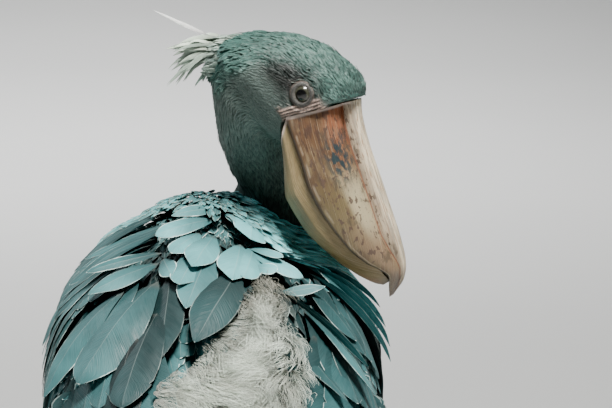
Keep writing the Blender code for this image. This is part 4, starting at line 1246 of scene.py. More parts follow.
def bill_half(name, profile_at, end, finish, from_top):
    """Half of the bill as a closed loft, with its own measures kept for the finish."""
    stations = end * (1 - (1 - np.linspace(0, 1, BILL_RINGS)) ** 1.5) * 0.999
    rings, marks, creases, ridges = [], [], [], []
    for station in stations:
        half = bill_ring(profile_at(station), BILL_SIDES)
        first = half[1:] if from_top else half[:-1]
        other = first[::-1] * (-1, 1)
        outline = (np.concatenate((other, half[:1], first)) if from_top
                   else np.concatenate((first, half[-1:], other)))
        top, edge = float(along(CULMEN, station)), float(along(TOMIUM, station))
        flat = np.column_stack((np.full(len(outline), station + 0.0002), outline))
        rings.append(bill_slanted(flat))
        steps = np.linalg.norm(np.diff(outline, axis=0), axis=1)
        arc = np.concatenate(((0,), np.cumsum(steps))) - steps.sum() / 2
        groove = profile_at(station)[RIDGE_CORNER]
        gap = np.hypot(np.abs(outline[:, 0]) - groove[0], outline[:, 1] - groove[1])
        crease = np.exp(-(gap / CREASE_REACH) ** 2)
        limit = np.abs(arc[np.argmin(gap)])
        ridges += list(smooth(limit + 0.0004, limit - 0.0004, np.abs(arc)) * from_top)
        marks += list(zip(np.full(len(arc), station), arc,
                          (outline[:, 1] - edge) / max(top - edge, 0.004)))
        creases += list(crease * from_top)
    points = np.concatenate(rings)
    grain = np.sin(points[:, 1] * 900 + 3 * np.sin(points[:, 0] * 40)) * 0.00008
    count = len(rings[0])
    faces = []
    for ring in range(len(rings) - 1):
        for i in range(count):
            j = (i + 1) % count
            low = ring * count
            faces.append((low + i, low + j, low + count + j, low + count + i))
    last = (len(rings) - 1) * count
    faces += [tuple(range(count)), tuple(range(last, last + count))]
    points[:, 2] += grain
    mesh = bpy.data.meshes.new(name)
    mesh.from_pydata([tuple(p) for p in from_head(points)], [], faces)
    bm = bmesh.new()
    bm.from_mesh(mesh)
    bmesh.ops.recalc_face_normals(bm, faces=bm.faces)
    bm.to_mesh(mesh)
    bm.free()
    paint_attribute(mesh, "bill", np.array(marks), "FLOAT_VECTOR")
    paint_attribute(mesh, "crease", creases)
    paint_attribute(mesh, "ridge", ridges)
    mesh.shade_smooth()
    mesh.set_sharp_from_angle(angle=math.radians(50))
    mesh.materials.append(finish)
    made = bpy.data.objects.new(name, mesh)
    bpy.context.scene.collection.objects.link(made)
    return riding(made, "bill_horn", name)


def bill_finish():
    """Mottled horn. Its pattern follows the bill's own measures: the station along it, the
    distance round it from the ridge, and the share of the height over the mouth's edge."""
    made, sketch, shader = new_finish("bill horn", 0.40, Specular_IOR_Level=0.5,
                                      Subsurface_Weight=0.06, Subsurface_Scale=0.004)
    station, arc, rise = sketch.node("ShaderNodeSeparateXYZ",
                                     [attribute(sketch, "bill", "Vector")]).outputs

    def pattern(along_scale, round_scale, shift, detail=3.0):
        """Noise whose features are 1 / scale metres along and round the bill."""
        vector = sketch.node("ShaderNodeCombineXYZ", [
            sketch.math("MULTIPLY", station, along_scale),
            sketch.math("MULTIPLY", arc, round_scale), shift]).outputs[0]
        return sketch.noise(vector, 1.0, detail, 0.55)

    def about(value, middle, inner, outer):
        """1 within inner of the middle, fading to 0 at outer."""
        return sketch.ramp(sketch.math("ABSOLUTE", sketch.math("SUBTRACT", value, middle)),
                           inner, outer, 1.0, 0.0)

    def both(*masks):
        result = masks[0]
        for mask in masks[1:]:
            result = sketch.math("MULTIPLY", result, mask)
        return result

    def paint(share, colour, over, strength=1.0):
        return sketch.mix(both(share, strength), over, colour)

    clouds = pattern(28, 60, 2.0)
    colour = sketch.mix(sketch.ramp(station, 0.02, 0.12), tint("bill"), (0.135, 0.102, 0.046))
    colour = paint(sketch.ramp(clouds, 0.50, 0.68), (0.26, 0.20, 0.105), colour, 0.50)
    colour = paint(sketch.ramp(pattern(40, 90, 31.0), 0.52, 0.66), (0.080, 0.042, 0.024), colour,
                   0.70)
    flush = both(sketch.ramp(station, 0.11, 0.015), about(rise, 0.70, 0.03, 0.26))
    colour = paint(flush, (0.30, 0.085, 0.038), colour, 0.52)
    pink = both(sketch.ramp(station, 0.10, 0.16), about(rise, 0.45, 0.1, 0.5))
    colour = paint(pink, (0.27, 0.175, 0.120), colour, 0.5)
    # Painted highlight: a pale glossy patch midway along the bill's side, below the ridge.
    painted_highlight = both(about(station, 0.112, 0.012, 0.050), about(rise, 0.64, 0.06, 0.24))
    colour = paint(painted_highlight, (0.50, 0.44, 0.29), colour, 0.62)
    below = sketch.ramp(rise, -0.02, -0.06)
    lower = sketch.mix(sketch.ramp(clouds, 0.35, 0.65), (0.20, 0.148, 0.068), (0.30, 0.225, 0.115))
    colour = sketch.mix(below, colour, lower)
    colour = paint(both(below, sketch.ramp(rise, -0.45, -1.0)), (0.34, 0.19, 0.15), colour, 0.6)
    ridge = attribute(sketch, "ridge")
    pale = sketch.mix(sketch.ramp(pattern(22, 260, 3.0), 0.42, 0.66), tint("ridge"),
                      (0.30, 0.27, 0.22))
    pale = sketch.mix(sketch.ramp(pattern(60, 700, 41.0), 0.50, 0.66), pale, (0.30, 0.19, 0.11))
    # Painted shade: the ridge is darker away from its top, toward the groove.
    pale = sketch.mix(sketch.ramp(rise, 0.985, 0.86, 0.0, 0.62), pale, (0.27, 0.20, 0.135))
    colour = sketch.mix(ridge, colour, pale)
    lines = pattern(10, 1300, 11.0, 2.0)
    colour = paint(sketch.ramp(lines, 0.54, 0.74), (0.66, 0.55, 0.38), colour, 0.28)
    colour = paint(sketch.ramp(lines, 0.44, 0.28), (0.16, 0.10, 0.06), colour, 0.30)
    side = both(sketch.ramp(rise, 0.05, 0.16), sketch.ramp(rise, 0.93, 0.82))
    dashes = both(sketch.ramp(pattern(70, 240, 5.0, 2.0), 0.52, 0.575), side,
                  sketch.ramp(station, 0.10, 0.03))
    colour = paint(dashes, (0.060, 0.032, 0.022), colour, 0.85)
    spots = both(sketch.ramp(pattern(130, 180, 9.0, 3.0), 0.555, 0.60), side,
                 sketch.ramp(station, 0.02, 0.06), sketch.ramp(station, 0.19, 0.16))
    colour = paint(spots, (0.075, 0.045, 0.035), colour, 0.85)
    heart = both(about(station, 0.060, 0.008, 0.040), about(rise, 0.60, 0.05, 0.28))
    ink = sketch.ramp(pattern(110, 230, 8.0, 3.0), 0.45, 0.54)
    colour = paint(both(ink, heart), (0.010, 0.030, 0.038), colour, 0.92)
    stains = both(sketch.ramp(pattern(45, 75, 51.0, 4.0), 0.56, 0.66), side)
    colour = paint(stains, (0.055, 0.042, 0.028), colour, 0.68)
    flecks = sketch.ramp(pattern(500, 700, 17.0, 2.0), 0.64, 0.70)
    colour = paint(flecks, (0.10, 0.075, 0.06), colour, 0.55)
    colour = paint(attribute(sketch, "crease"), (0.20, 0.070, 0.035), colour, 0.80)
    # A dark line along the mouth's edge: partly the horn's own colour, partly painted shade where the two
    # halves meet.
    mouth = about(rise, 0.0, 0.020, 0.065)
    colour = paint(mouth, (0.030, 0.024, 0.018), colour, 0.88)
    edge = both(about(rise, 0.085, 0.008, 0.03), sketch.ramp(pattern(60, 10, 27.0), 0.42, 0.55))
    colour = paint(edge, (0.58, 0.50, 0.36), colour, 0.25)
    rim = both(sketch.ramp(station, 0.0045, 0.0015), sketch.ramp(rise, 0.95, 0.85))
    colour = paint(rim, (0.62, 0.50, 0.44), colour, 0.8)
    hook = both(sketch.ramp(station, 0.180, 0.195), sketch.ramp(clouds, 0.3, 0.6, 0.55, 1.0))
    colour = paint(hook, (0.105, 0.090, 0.080), colour, 0.8)
    height = sketch.math("ADD", sketch.math("MULTIPLY", lines, 0.7),
                         sketch.math("MULTIPLY", pattern(120, 420, 21.0), 0.6))
    finish_surface(sketch, shader, colour, height, 0.0008, sketch.ramp(clouds, 0.3, 0.7, 0.32, 0.48))
    return made


def eye_finish():
    """A pale grey-yellow iris with fine spokes, a dark rim and a wide black pupil."""
    made, sketch, shader = new_finish("eye", 0.16, Coat_Weight=0.5, Coat_Roughness=0.03,
                                      Specular_IOR_Level=0.3)
    place = sketch.node("ShaderNodeSeparateXYZ", [attribute(sketch, "gaze", "Vector")]).outputs
    radius = sketch.math("SQRT", sketch.math("ADD", sketch.math("MULTIPLY", place[0], place[0]),
                                             sketch.math("MULTIPLY", place[2], place[2])))
    spin = sketch.math("ARCTAN2", place[2], place[0])
    spokes = sketch.noise(sketch.node("ShaderNodeCombineXYZ", [
        sketch.math("MULTIPLY", spin, 9.0), sketch.math("MULTIPLY", radius, 1.5),
        0.0]).outputs[0], 1.0, 3.0)
    iris = sketch.mix(spokes, tint("iris") * 0.25, tint("iris"))
    ring = sketch.ramp(sketch.math("ABSOLUTE", sketch.math("SUBTRACT", radius, 0.56)),
                       0.010, 0.040, 1.0, 0.0)
    iris = sketch.mix(sketch.math("MULTIPLY", ring, 0.4), iris, (0.080, 0.080, 0.060))
    pupil = sketch.ramp(radius, 0.43, 0.46, 1.0, 0.0)
    colour = sketch.mix(pupil, iris, (0.004, 0.004, 0.004))
    rim = sketch.ramp(radius, 0.645, 0.68)
    colour = sketch.mix(rim, colour, (0.02, 0.017, 0.013))
    finish_surface(sketch, shader, colour, spokes, 0.0001, sketch.ramp(spokes, 0.2, 0.8, 0.1, 0.2))
    return made


def eye(side_name, side, finish):
    """An eyeball with a bulging cornea."""
    bm = bmesh.new()
    bmesh.ops.create_uvsphere(bm, u_segments=64, v_segments=40, radius=EYE_RADIUS,
                              matrix=Matrix.Rotation(math.radians(-90 * side), 4, "X"))
    for vert in bm.verts:
        off = math.hypot(vert.co.x, vert.co.z)
        bulge = 0.0007 * math.exp(-(off / 0.0062) ** 2)
        vert.co.y += side * (bulge if vert.co.y * side > 0 else 0)
    gaze = np.array([v.co for v in bm.verts]) / EYE_RADIUS
    mesh = bpy.data.meshes.new(f"eye_{side_name}")
    bm.to_mesh(mesh)
    bm.free()
    local = np.array([v.co for v in mesh.vertices])
    world = from_head(local + EYE_AT * (1, side, 1))
    mesh.vertices.foreach_set("co", world.ravel())
    paint_attribute(mesh, "gaze", gaze, "FLOAT_VECTOR")
    mesh.materials.append(finish)
    mesh.shade_smooth()
    made = bpy.data.objects.new(f"eyeball_{side_name}", mesh)
    bpy.context.scene.collection.objects.link(made)
    return riding(made, "eye", f"eye_{side_name}")


def claw_finish():
    made, sketch, shader = new_finish("claw horn", 0.4, Specular_IOR_Level=0.5)
    place = object_point(sketch)
    grain = sketch.noise(place, 500.0, 3.0)
    wide = sketch.noise(place, 120.0, 2.0)
    colour = sketch.mix(wide, (0.018, 0.017, 0.016), (0.085, 0.075, 0.062))
    finish_surface(sketch, shader, colour, grain, 0.0003, sketch.ramp(grain, 0.3, 0.7, 0.3, 0.5))
    return made


def claw(side_name, toe_name, finish):
    """A curved claw from its toe's end to its point on the floor."""
    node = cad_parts[f"claw_{side_name}_{toe_name}"]
    points = np.array([v.co for v in node.data.vertices])
    foot_low, foot_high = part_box(f"foot_{side_name}")
    centre = (np.array(foot_low) + np.array(foot_high)) / 2
    flat = points.mean(0) - centre
    flat[2] = 0
    heading = unit(flat)
    across = np.cross(Z_AXIS, heading)
    reach = (points - centre) @ heading
    start, end = reach.min(), reach.max()
    high = points[:, 2].max() / 2 + 0.0012
    rings, sides = 22, 14
    verts, faces = [], []
    for n in range(rings):
        share = n / (rings - 1)
        size = 0.0040 * (1 - share) ** 0.75 + 0.0003
        middle = (centre * (1, 1, 0) + heading * (start - 0.0015 + (end - start + 0.0013) * share)
                  + Z_AXIS * (high - (high - 0.0008) * share ** 2.2))
        for i in range(sides):
            turn = 2 * math.pi * i / sides
            dip = 1 - 0.22 * max(0.0, -math.sin(turn)) ** 4
            verts.append(middle + across * size * math.cos(turn) * 0.85
                         + Z_AXIS * size * math.sin(turn) * dip)
    for n in range(rings - 1):
        for i in range(sides):
            j = (i + 1) % sides
            faces.append((n * sides + i, n * sides + j, (n + 1) * sides + j, (n + 1) * sides + i))
    faces += [tuple(range(sides)), tuple(range((rings - 1) * sides, rings * sides))]
    verts = np.array(verts)
    verts[:, 2] = np.maximum(verts[:, 2], 0.0002)
    mesh = bpy.data.meshes.new(f"claw_{side_name}_{toe_name}")
    mesh.from_pydata([tuple(v) for v in verts], [], faces)
    bm = bmesh.new()
    bm.from_mesh(mesh)
    bmesh.ops.recalc_face_normals(bm, faces=bm.faces)
    bm.to_mesh(mesh)
    bm.free()
    mesh.shade_smooth()
    mesh.materials.append(finish)
    made = bpy.data.objects.new(f"claw_horn_{side_name}_{toe_name}", mesh)
    bpy.context.scene.collection.objects.link(made)
    return riding(made, "claw_horn", f"claw_{side_name}_{toe_name}")


def facing(side, station, angle):
    """The direction straight out of the trunk's surface."""
    return unit(body_point(station, angle, 0.02) - body_point(station, angle, 0.0))


def wing_height(station, angle):
    """How high the folded wing stands over the trunk there, or 0 beside it."""
    droop = float(along(RIGHT_WING_DROOP, station)) if angle < 0 else 0.0
    top, low = float(along(WING_TOP_EDGE, station)) + droop, float(along(WING_LOW_EDGE, station))
    share = (abs(angle) - top) / (low - top)
    crown = math.sin(math.pi * min(max(share, 0.0), 1.0)) ** WING_CROWN
    thick = float(along(WING_THICKNESS, station))
    rise = thick * (WING_EDGE_SHARE + (1 - WING_EDGE_SHARE) * crown)
    return (float(along(WING_STANDOFF, station)) + rise) * float(smooth(-0.10, 0.02, share))


def lay_on_back(layer, start, end, width, low, high, colour, roll=0.0, curl=3.2, shape=None):
    """A feather over the back and wing, between two places that are each a station and an
    angle. It lies from low to high above what is under it."""
    (s0, a0), (s1, a1) = start, end
    places = [(s0 + (s1 - s0) * t, a0 + (a1 - a0) * t, low + (high - low) * t ** 0.8)
              for t in (0.0, 0.5, 1.0)]
    root, middle, tip = (body_point(s, a, wing_height(s, a) + up) for s, a, up in places)
    face = facing(1, places[1][0], places[1][1])
    layer.lay(root, middle, tip, face, width, colour, curl * width * width / 8 / 0.13, roll,
              shape)


def lay_on_wing(layer, side, start, end, width, low, high, colour, roll=0.0):
    """A feather on the wing, between two places that are each a station and a share."""
    (s0, v0), (s1, v1) = start, end
    root, middle, tip = (wing_point(side, s0 + (s1 - s0) * t, v0 + (v1 - v0) * t,
                                    low + (high - low) * t) for t in (0.0, 0.5, 1.0))
    s, v = (s0 + s1) / 2, (v0 + v1) / 2
    face = unit(wing_point(side, s, v, 0.02) - wing_point(side, s, v, 0.0))
    layer.lay(root, middle, tip, face, width, colour, 1.9 * width * width / 8 / 0.13, roll)


DOWN_TUFTS = 425
DOWN_GAP = 0.012  # how far apart the tufts start, which narrows as the room runs out
DOWN_OVER_WING = 0.018
# The colour of the down's painted shade.
DOWN_SHADE_COLOUR = np.array((0.36, 0.34, 0.28))


def back_down():
    """Two pieces of loose white down, which shows where the wings part over the back and
    spills over their edges."""
    for side_name, side in SIDES:
        layer = Layer(101 + side)
        rng = layer.rng
        spots = []
        gap = DOWN_GAP
        while len(layer.rows) < DOWN_TUFTS:
            station, angle = rng.uniform(0.30, DOWN_END), side * rng.uniform(0, 40)
            inside = station - float(along(DOWN_EDGE, angle))
            if inside < 0 or abs(angle) > 24 + (4 if side > 0 else 8) * rng.uniform():
                continue
            spot = np.array((station * TRUNK_LENGTH, math.radians(angle) * 0.13))
            if spots and np.linalg.norm(np.array(spots) - spot, axis=1).min() < gap:
                gap *= 0.999
                continue
            spots.append(spot)
            length = rng.uniform(0.026, 0.046) * (0.75 if inside < 0.04 else 1.0)
            swirl = 55 * math.sin(19 * station + 0.11 * angle) + 35 * math.sin(31 * station - 0.2 * angle)
            turn = math.radians(swirl + rng.uniform(-25, 25))
            if abs(angle) > 15:
                turn = -side * abs(turn) * 0.6
            elif station < 0.54 and angle > -12:
                turn = -abs(turn) * 0.8
            s1 = station + length * math.cos(turn) / TRUNK_LENGTH
            a1 = angle + math.degrees(length * math.sin(turn) / 0.13)
            clump = 0.5 + 0.5 * math.sin(23 * station + 1.3) * math.sin(0.16 * angle + 0.7)
            rise = rng.uniform()
            up = 0.002 + (0.005 + 0.014 * clump) * (0.3 + 0.7 * rise) * min(1.0, inside / 0.06)
            over = DOWN_OVER_WING * float(smooth(13, 25, abs(angle)) * smooth(0.42, 0.5, station))
            # Painted shade: tufts on the right near where the down begins, and the lower tufts, are tinted
            # toward the shade colour, and tufts in the hollows between clumps are darker.
            unshaded = float(smooth(0.02, 0.10, inside)) if angle < -8 else 1.0
            unshaded *= 0.30 + 0.70 * rise ** 0.7
            shade = DOWN_SHADE_COLOUR + (tint("down") - DOWN_SHADE_COLOUR) * unshaded
            lay_on_back(layer, (station, angle), (s1, a1), rng.uniform(0.013, 0.021),
                        over - 0.004, over + up,
                        shade * (0.78 + 0.22 * clump),
                        rng.uniform(-0.5, 0.5), 0.0)
        mesh, patch = layer.mesh(f"down_points_{side_name}", on_skin=True)
        piece = realised(f"back_down_{side_name}", mesh, laid_tree(), Vanes=vanes("fluff"),
                         Finish=coat_finish("downy"), Ruffle=0.010, Ruffle_Scale=42.0,
                         Patch_Size=patch)
        riding(piece, "plumage")


# The shoulder feathers that the view shows best: where each starts and ends, as a station and
# an angle, then its width and how high its tip stands
SHOULDER = (
    ((0.085, -4), (0.120, 21), 0.016, 0.010), ((0.130, 0), (0.182, 27), 0.024, 0.010),
    ((0.175, 8), (0.250, 20), 0.026, 0.009), ((0.190, 1), (0.305, 11), 0.034, 0.010),
    ((0.225, 9), (0.350, 16), 0.030, 0.007), ((0.240, 4), (0.410, 14), 0.038, 0.006),
    ((0.090, -20), (0.220, -14), 0.038, 0.009), ((0.215, -11), (0.350, -4), 0.036, 0.008),
    ((0.220, -17), (0.340, -9), 0.030, 0.006), ((0.290, -9), (0.515, 11), 0.044, 0.018),
    ((0.290, 21), (0.530, 25), 0.040, 0.007), ((0.235, 25), (0.315, 19), 0.020, 0.006),
    ((0.225, -15), (0.270, -26), 0.014, 0.014), ((0.290, -14), (0.305, -24), 0.016, 0.010),
    ((0.235, -14), (0.315, -34), 0.022, 0.012),
)
LONG_SHOULDER = (
    ((0.300, 27), (0.535, 52), 0.060, 0.008), ((0.310, 39), (0.490, 71), 0.040, 0.009),
    ((0.245, 27), (0.320, 49), 0.028, 0.014), ((0.215, 26), (0.250, 51), 0.016, 0.016),
    ((0.380, 26), (0.630, 37), 0.052, 0.007), ((0.440, 34), (0.730, 44), 0.050, 0.004),
    ((0.342, -27), (0.332, -41), 0.012, 0.012), ((0.224, -21), (0.240, -46), 0.010, 0.018),
    ((0.232, -24), (0.262, -52), 0.010, 0.018), ((0.219, -38), (0.310, -67), 0.011, 0.018),
    ((0.230, -40), (0.350, -70), 0.011, 0.017), ((0.240, -42), (0.390, -72), 0.0115, 0.016),
    ((0.260, -42), (0.430, -72), 0.0115, 0.014), ((0.343, -31), (0.508, -54), 0.0115, 0.014),
    ((0.364, -35), (0.569, -57), 0.020, 0.012), ((0.380, -26), (0.610, -46), 0.026, 0.010),
    ((0.410, -24), (0.620, -33), 0.040, 0.006), ((0.460, -28), (0.740, -34), 0.040, 0.004),
)
EDGE_ON_WIDTH = 0.012
EDGE_ON_ROLL = 1.0
# Fans of long feathers from each side of the neck's base down over the shoulder: how many,
# then the first and last feather's start and end
FANS = (
    (9, ((0.04, 30), (0.10, 76)), ((0.16, 62), (0.34, 92)), 0.022),
    (8, ((0.16, 46), (0.30, 84)), ((0.28, 62), (0.46, 96)), 0.026),
    (9, ((0.10, 24), (0.155, 62)), ((0.23, 44), (0.37, 78)), 0.022),
)
RIGHT_FANS = 2
SHOULDER_LIFT = 0.004
# How much painted shade darkens the shoulder feathers whose tips lie further back.
SHOULDER_PAINTED_SHADE = 0.86


def shoulder_feathers():
    """The scapulars of both sides, with the fans over the shoulders."""
    for side_name, side in SIDES:
        layer = Layer(11 + side)
        rng = layer.rng
        for count, first, last, width in FANS if side > 0 else FANS[:RIGHT_FANS]:
            for k in range(count):
                (s0, a0), (s1, a1) = (
                    [p + (q - p) * k / (count - 1) for p, q in zip(one, two)]
                    for one, two in zip(first, last))
                shade = rng.uniform(0.55, 1.0)
                lay_on_back(layer, (s0, side * a0), (s1 + rng.uniform(-0.01, 0.01), side * a1),
                            width, -0.003, 0.004 + 0.0008 * (count - k),
                            tint("body" if side > 0 else "throat") * shade,
                            rng.uniform(0.15, 0.45) * side, shape=2 * int(rng.integers(0, 3)))
        # Each group's brightness is partly the feathers' own tone and partly painted light: the upper
        # shoulder feathers are lighter than the long ones below them.
        for rows, tone_and_painted_light, (near, far) in ((SHOULDER, 2.7, (0.34, 0.50)),
                                          (LONG_SHOULDER, 1.6 if side > 0 else 1.7, (0.48, 0.66))):
            for start, end, width, high in rows:
                if (end[1] > 0) == (side > 0):
                    pointed = rows is SHOULDER and rng.uniform() < 0.7 and width < 0.040
                    # Painted shade: the further back a feather's tip lies, the darker it is.
                    fade = 1 - SHOULDER_PAINTED_SHADE * float(smooth(near, far, end[0]))
                    lay_on_back(layer, start, end, width, 0.0, high + SHOULDER_LIFT,
                                tint("body") * rng.uniform(0.70, 1.15) * tone_and_painted_light * fade,
                                rng.uniform(-0.12, 0.12)
                                + EDGE_ON_ROLL * side * (width < EDGE_ON_WIDTH),
                                shape=2 * int(rng.integers(0, 3)) + pointed)
        mesh, patch = layer.mesh(f"shoulder_points_{side_name}")
        piece = realised(f"shoulder_feathers_{side_name}", mesh, laid_tree(),
                         Vanes=vanes("mixed"), Finish=coat_finish("broad"), Ruffle=0.007,
                         Ruffle_Scale=22.0, Patch_Size=patch)
        riding(piece, "plumage", f"scapulars_{side_name}")


MANTLE_EDGE = ((-80, 0.30), (-67, 0.27), (-45, 0.225), (-30, 0.215), (-24, 0.19), (-20, 0.13),
               (-5, 0.12), (8, 0.05), (30, 0.02), (60, 0.05))
MANTLE_PLUMES = 900


def mantle_plumes():
    """Slim loose feathers over the neck's base, which hide the roots of the shoulder's."""
    layer = Layer(121)
    rng = layer.rng
    while len(layer.rows) < MANTLE_PLUMES:
        station, angle = rng.uniform(-0.05, 0.25), rng.uniform(-80, 60)
        if station > float(along(MANTLE_EDGE, angle)):
            continue
        length = rng.uniform(0.020, 0.032)
        turn = math.radians(max(-52, min(angle * 1.2, 52)) + rng.uniform(-12, 12))
        s1 = station + length * math.cos(turn) / TRUNK_LENGTH
        a1 = angle + math.degrees(length * math.sin(turn) / 0.10)
        # Painted light: plumes on the right shoulder, beside the bill, are tinted brighter where the head
        # shades them.
        lay_on_back(layer, (station, angle), (s1, a1), rng.uniform(0.0055, 0.0085),
                    -0.001 + 0.004 * rng.uniform(), rng.uniform(0.006, 0.011),
                    tint("body") * rng.uniform(0.8, 2.4) * (1.0 + 1.6 * float(smooth(-14, -26, angle))),
                    rng.uniform(-0.25, 0.25))
    mesh, patch = layer.mesh("mantle_points", on_skin=True)
    piece = realised("mantle_plumes", mesh, laid_tree(), Vanes=vanes("lance"),
                     Finish=coat_finish("plume"), Ruffle=0.004, Ruffle_Scale=60.0,
                     Patch_Size=patch)
    riding(piece, "plumage")


def wing_rows(layer, side, rng, count, start, end, spread, width, low, high, colour,
              shares=(0.02, 0.98), drift=0.0):
    """One row of like feathers across the wing, each a little under the one above it. The
    tips of the lower ones are further back by the spread, and all drift down the wing."""
    for k in reversed(range(count)):
        share = shares[0] + (shares[1] - shares[0]) * k / (count - 1)
        from_station = start + rng.uniform(-0.006, 0.006)
        to_station = end + spread * (share - 0.5) + rng.uniform(-0.008, 0.008)
        end_share = min(share + drift * (1 - 0.7 * share) + rng.uniform(-0.015, 0.02), 1.02)
        lay_on_wing(layer, side, (from_station, share), (to_station, end_share), width,
                    low, high - 0.0009 * k, colour * rng.uniform(0.82, 1.15),
                    rng.uniform(-0.10, 0.10))


def covert_feathers():
    """Median and greater coverts of each wing."""
    for side_name, side in SIDES:
        layer = Layer(31 + side)
        rng = layer.rng
        # Painted shade: the greater and median coverts, lower on the wing, are tinted darker than the lesser
        # ones.
        wing_rows(layer, side, rng, 13, 0.36, 0.61, 0.04, 0.050, -0.009, 0.004,
                  tint("body") * 0.58, (-0.02, 0.96), 0.14)
        wing_rows(layer, side, rng, 14, 0.26, 0.45, 0.03, 0.040, -0.008, 0.005,
                  tint("body") * 0.72, (-0.02, 0.94), 0.18)
        wing_rows(layer, side, rng, 16, 0.17, 0.33, 0.02, 0.032, -0.007, 0.006, tint("body"),
                  (0.0, 0.94), 0.18)
        mesh, patch = layer.mesh(f"covert_points_{side_name}")
        piece = realised(f"coverts_{side_name}", mesh, laid_tree(), Vanes=vanes("broad"),
                     Finish=coat_finish("broad"),
                         Ruffle=0.003, Ruffle_Scale=18.0, Patch_Size=patch)
        riding(piece, "plumage", f"wing_{side_name}_coverts")


def flight_feathers():
    """Secondaries with the broad tertials over them, and the primaries behind."""
    for side_name, side in SIDES:
        layer = Layer(51 + side)
        rng = layer.rng
        wing_rows(layer, side, rng, 14, 0.46, 0.97, 0.02, 0.050, -0.010, -0.001, tint("flight"))
        wing_rows(layer, side, rng, 5, 0.42, 0.86, 0.10, 0.062, -0.006, 0.004, tint("body") * 0.8,
                  shares=(0.02, 0.30))
        mesh, patch = layer.mesh(f"secondary_points_{side_name}")
        piece = realised(f"secondaries_{side_name}", mesh, laid_tree(), Vanes=vanes("long"),
                     Finish=coat_finish("broad"), Ruffle=0.003, Ruffle_Scale=9.0, Patch_Size=patch)
        riding(piece, "flight_feathers", f"wing_{side_name}_secondaries")
        layer = Layer(61 + side)
        rng = layer.rng
        for k in range(11):
            share = 0.08 + 0.84 * k / 10
            reach = 1.42 - 0.30 * abs(share - 0.42)
            lay_on_wing(layer, side, (0.72, share), (reach, 0.5 + (share - 0.5) * 0.55), 0.046,
                        -0.008, -0.003 - 0.0006 * k, tint("flight") * rng.uniform(0.7, 0.95),
                        rng.uniform(-0.06, 0.06))
        wing_rows(layer, side, rng, 10, 0.70, 1.06, 0.0, 0.046, -0.010, -0.002,
                  tint("flight") * 0.9)
        mesh, patch = layer.mesh(f"primary_points_{side_name}")
        piece = realised(f"primaries_{side_name}", mesh, laid_tree(), Vanes=vanes("long"),
                     Finish=coat_finish("broad"), Ruffle=0.002, Ruffle_Scale=9.0, Patch_Size=patch)
        riding(piece, "flight_feathers", f"wing_{side_name}_primaries")


def tail_feathers():
    """Twelve tail feathers, the middle pair on top, and the coverts over their roots."""
    layer = Layer(71)
    rng = layer.rng
    heading = unit(TAIL_TIP - TAIL_ROOT)
    rise = np.cross(X_AXIS, heading)
    length = np.linalg.norm(TAIL_TIP - TAIL_ROOT)

    def place(share, side, up):
        width = float(along(((0.0, 0.018), (0.4, 0.034), (1.0, 0.042)), share))
        reach = length * share - 0.016 * side * side * share
        return (TAIL_ROOT + SHIFT + heading * reach + X_AXIS * side * width
                + rise * (up - 0.014 * side * side))

    for k in range(12):
        side = (2 * k - 11) / 11
        up = 0.003 - 0.0035 * abs(side)
        layer.lay(place(-0.1, side * 0.6, up - 0.004), place(0.45, side, up),
                  place(0.985, side, up - 0.001), rise, 0.034, tint("flight") * rng.uniform(0.85, 1),
                  0.001, rng.uniform(-0.05, 0.05))
    for above, tone in ((1, tint("body")), (-1, tint("pale"))):
        for row in range(3):
            for k in range(7):
                side = (2 * k - 6) / 6.5
                start = -0.28 + 0.16 * row
                up = above * (0.010 - 0.002 * row)
                layer.lay(place(start, side, up - above * 0.002),
                          place(start + 0.26, side, up + above * 0.001),
                          place(start + 0.50, side, up - above * 0.002), rise * above, 0.030,
                          tone * rng.uniform(0.8, 1.05), 0.0012, rng.uniform(-0.1, 0.1))
    mesh, patch = layer.mesh("tail_points")
    piece = realised("tail_feathers", mesh, laid_tree(), Vanes=vanes("long"),
                     Finish=coat_finish("broad"),
                     Ruffle=0.002, Ruffle_Scale=12.0, Patch_Size=patch)
    riding(piece, "flight_feathers", "tail")


# The crest's locks, in the head's own frame: the root and the tip as a place forward and a
# place toward the crown, then how far the lock bows upward, how many plumes and paleness
LOCKS = (
    ((-0.1080, -0.0400), (-0.1640, -0.0790), 0.000, 1, 1.0),
    ((-0.1060, -0.0390), (-0.1221, -0.0731), 0.003, 6, 0.85),
    ((-0.1030, -0.0400), (-0.1241, -0.0892), 0.004, 7, 0.95),
    ((-0.1000, -0.0410), (-0.1145, -0.0866), 0.005, 6, 0.60),
    ((-0.0960, -0.0420), (-0.1065, -0.0992), 0.008, 7, 0.60),
    ((-0.0910, -0.0440), (-0.0916, -0.1100), 0.012, 7, 0.50),
    ((-0.0850, -0.0450), (-0.0775, -0.0828), 0.008, 6, 0.20),
)
NAPE_PLUMES = 400


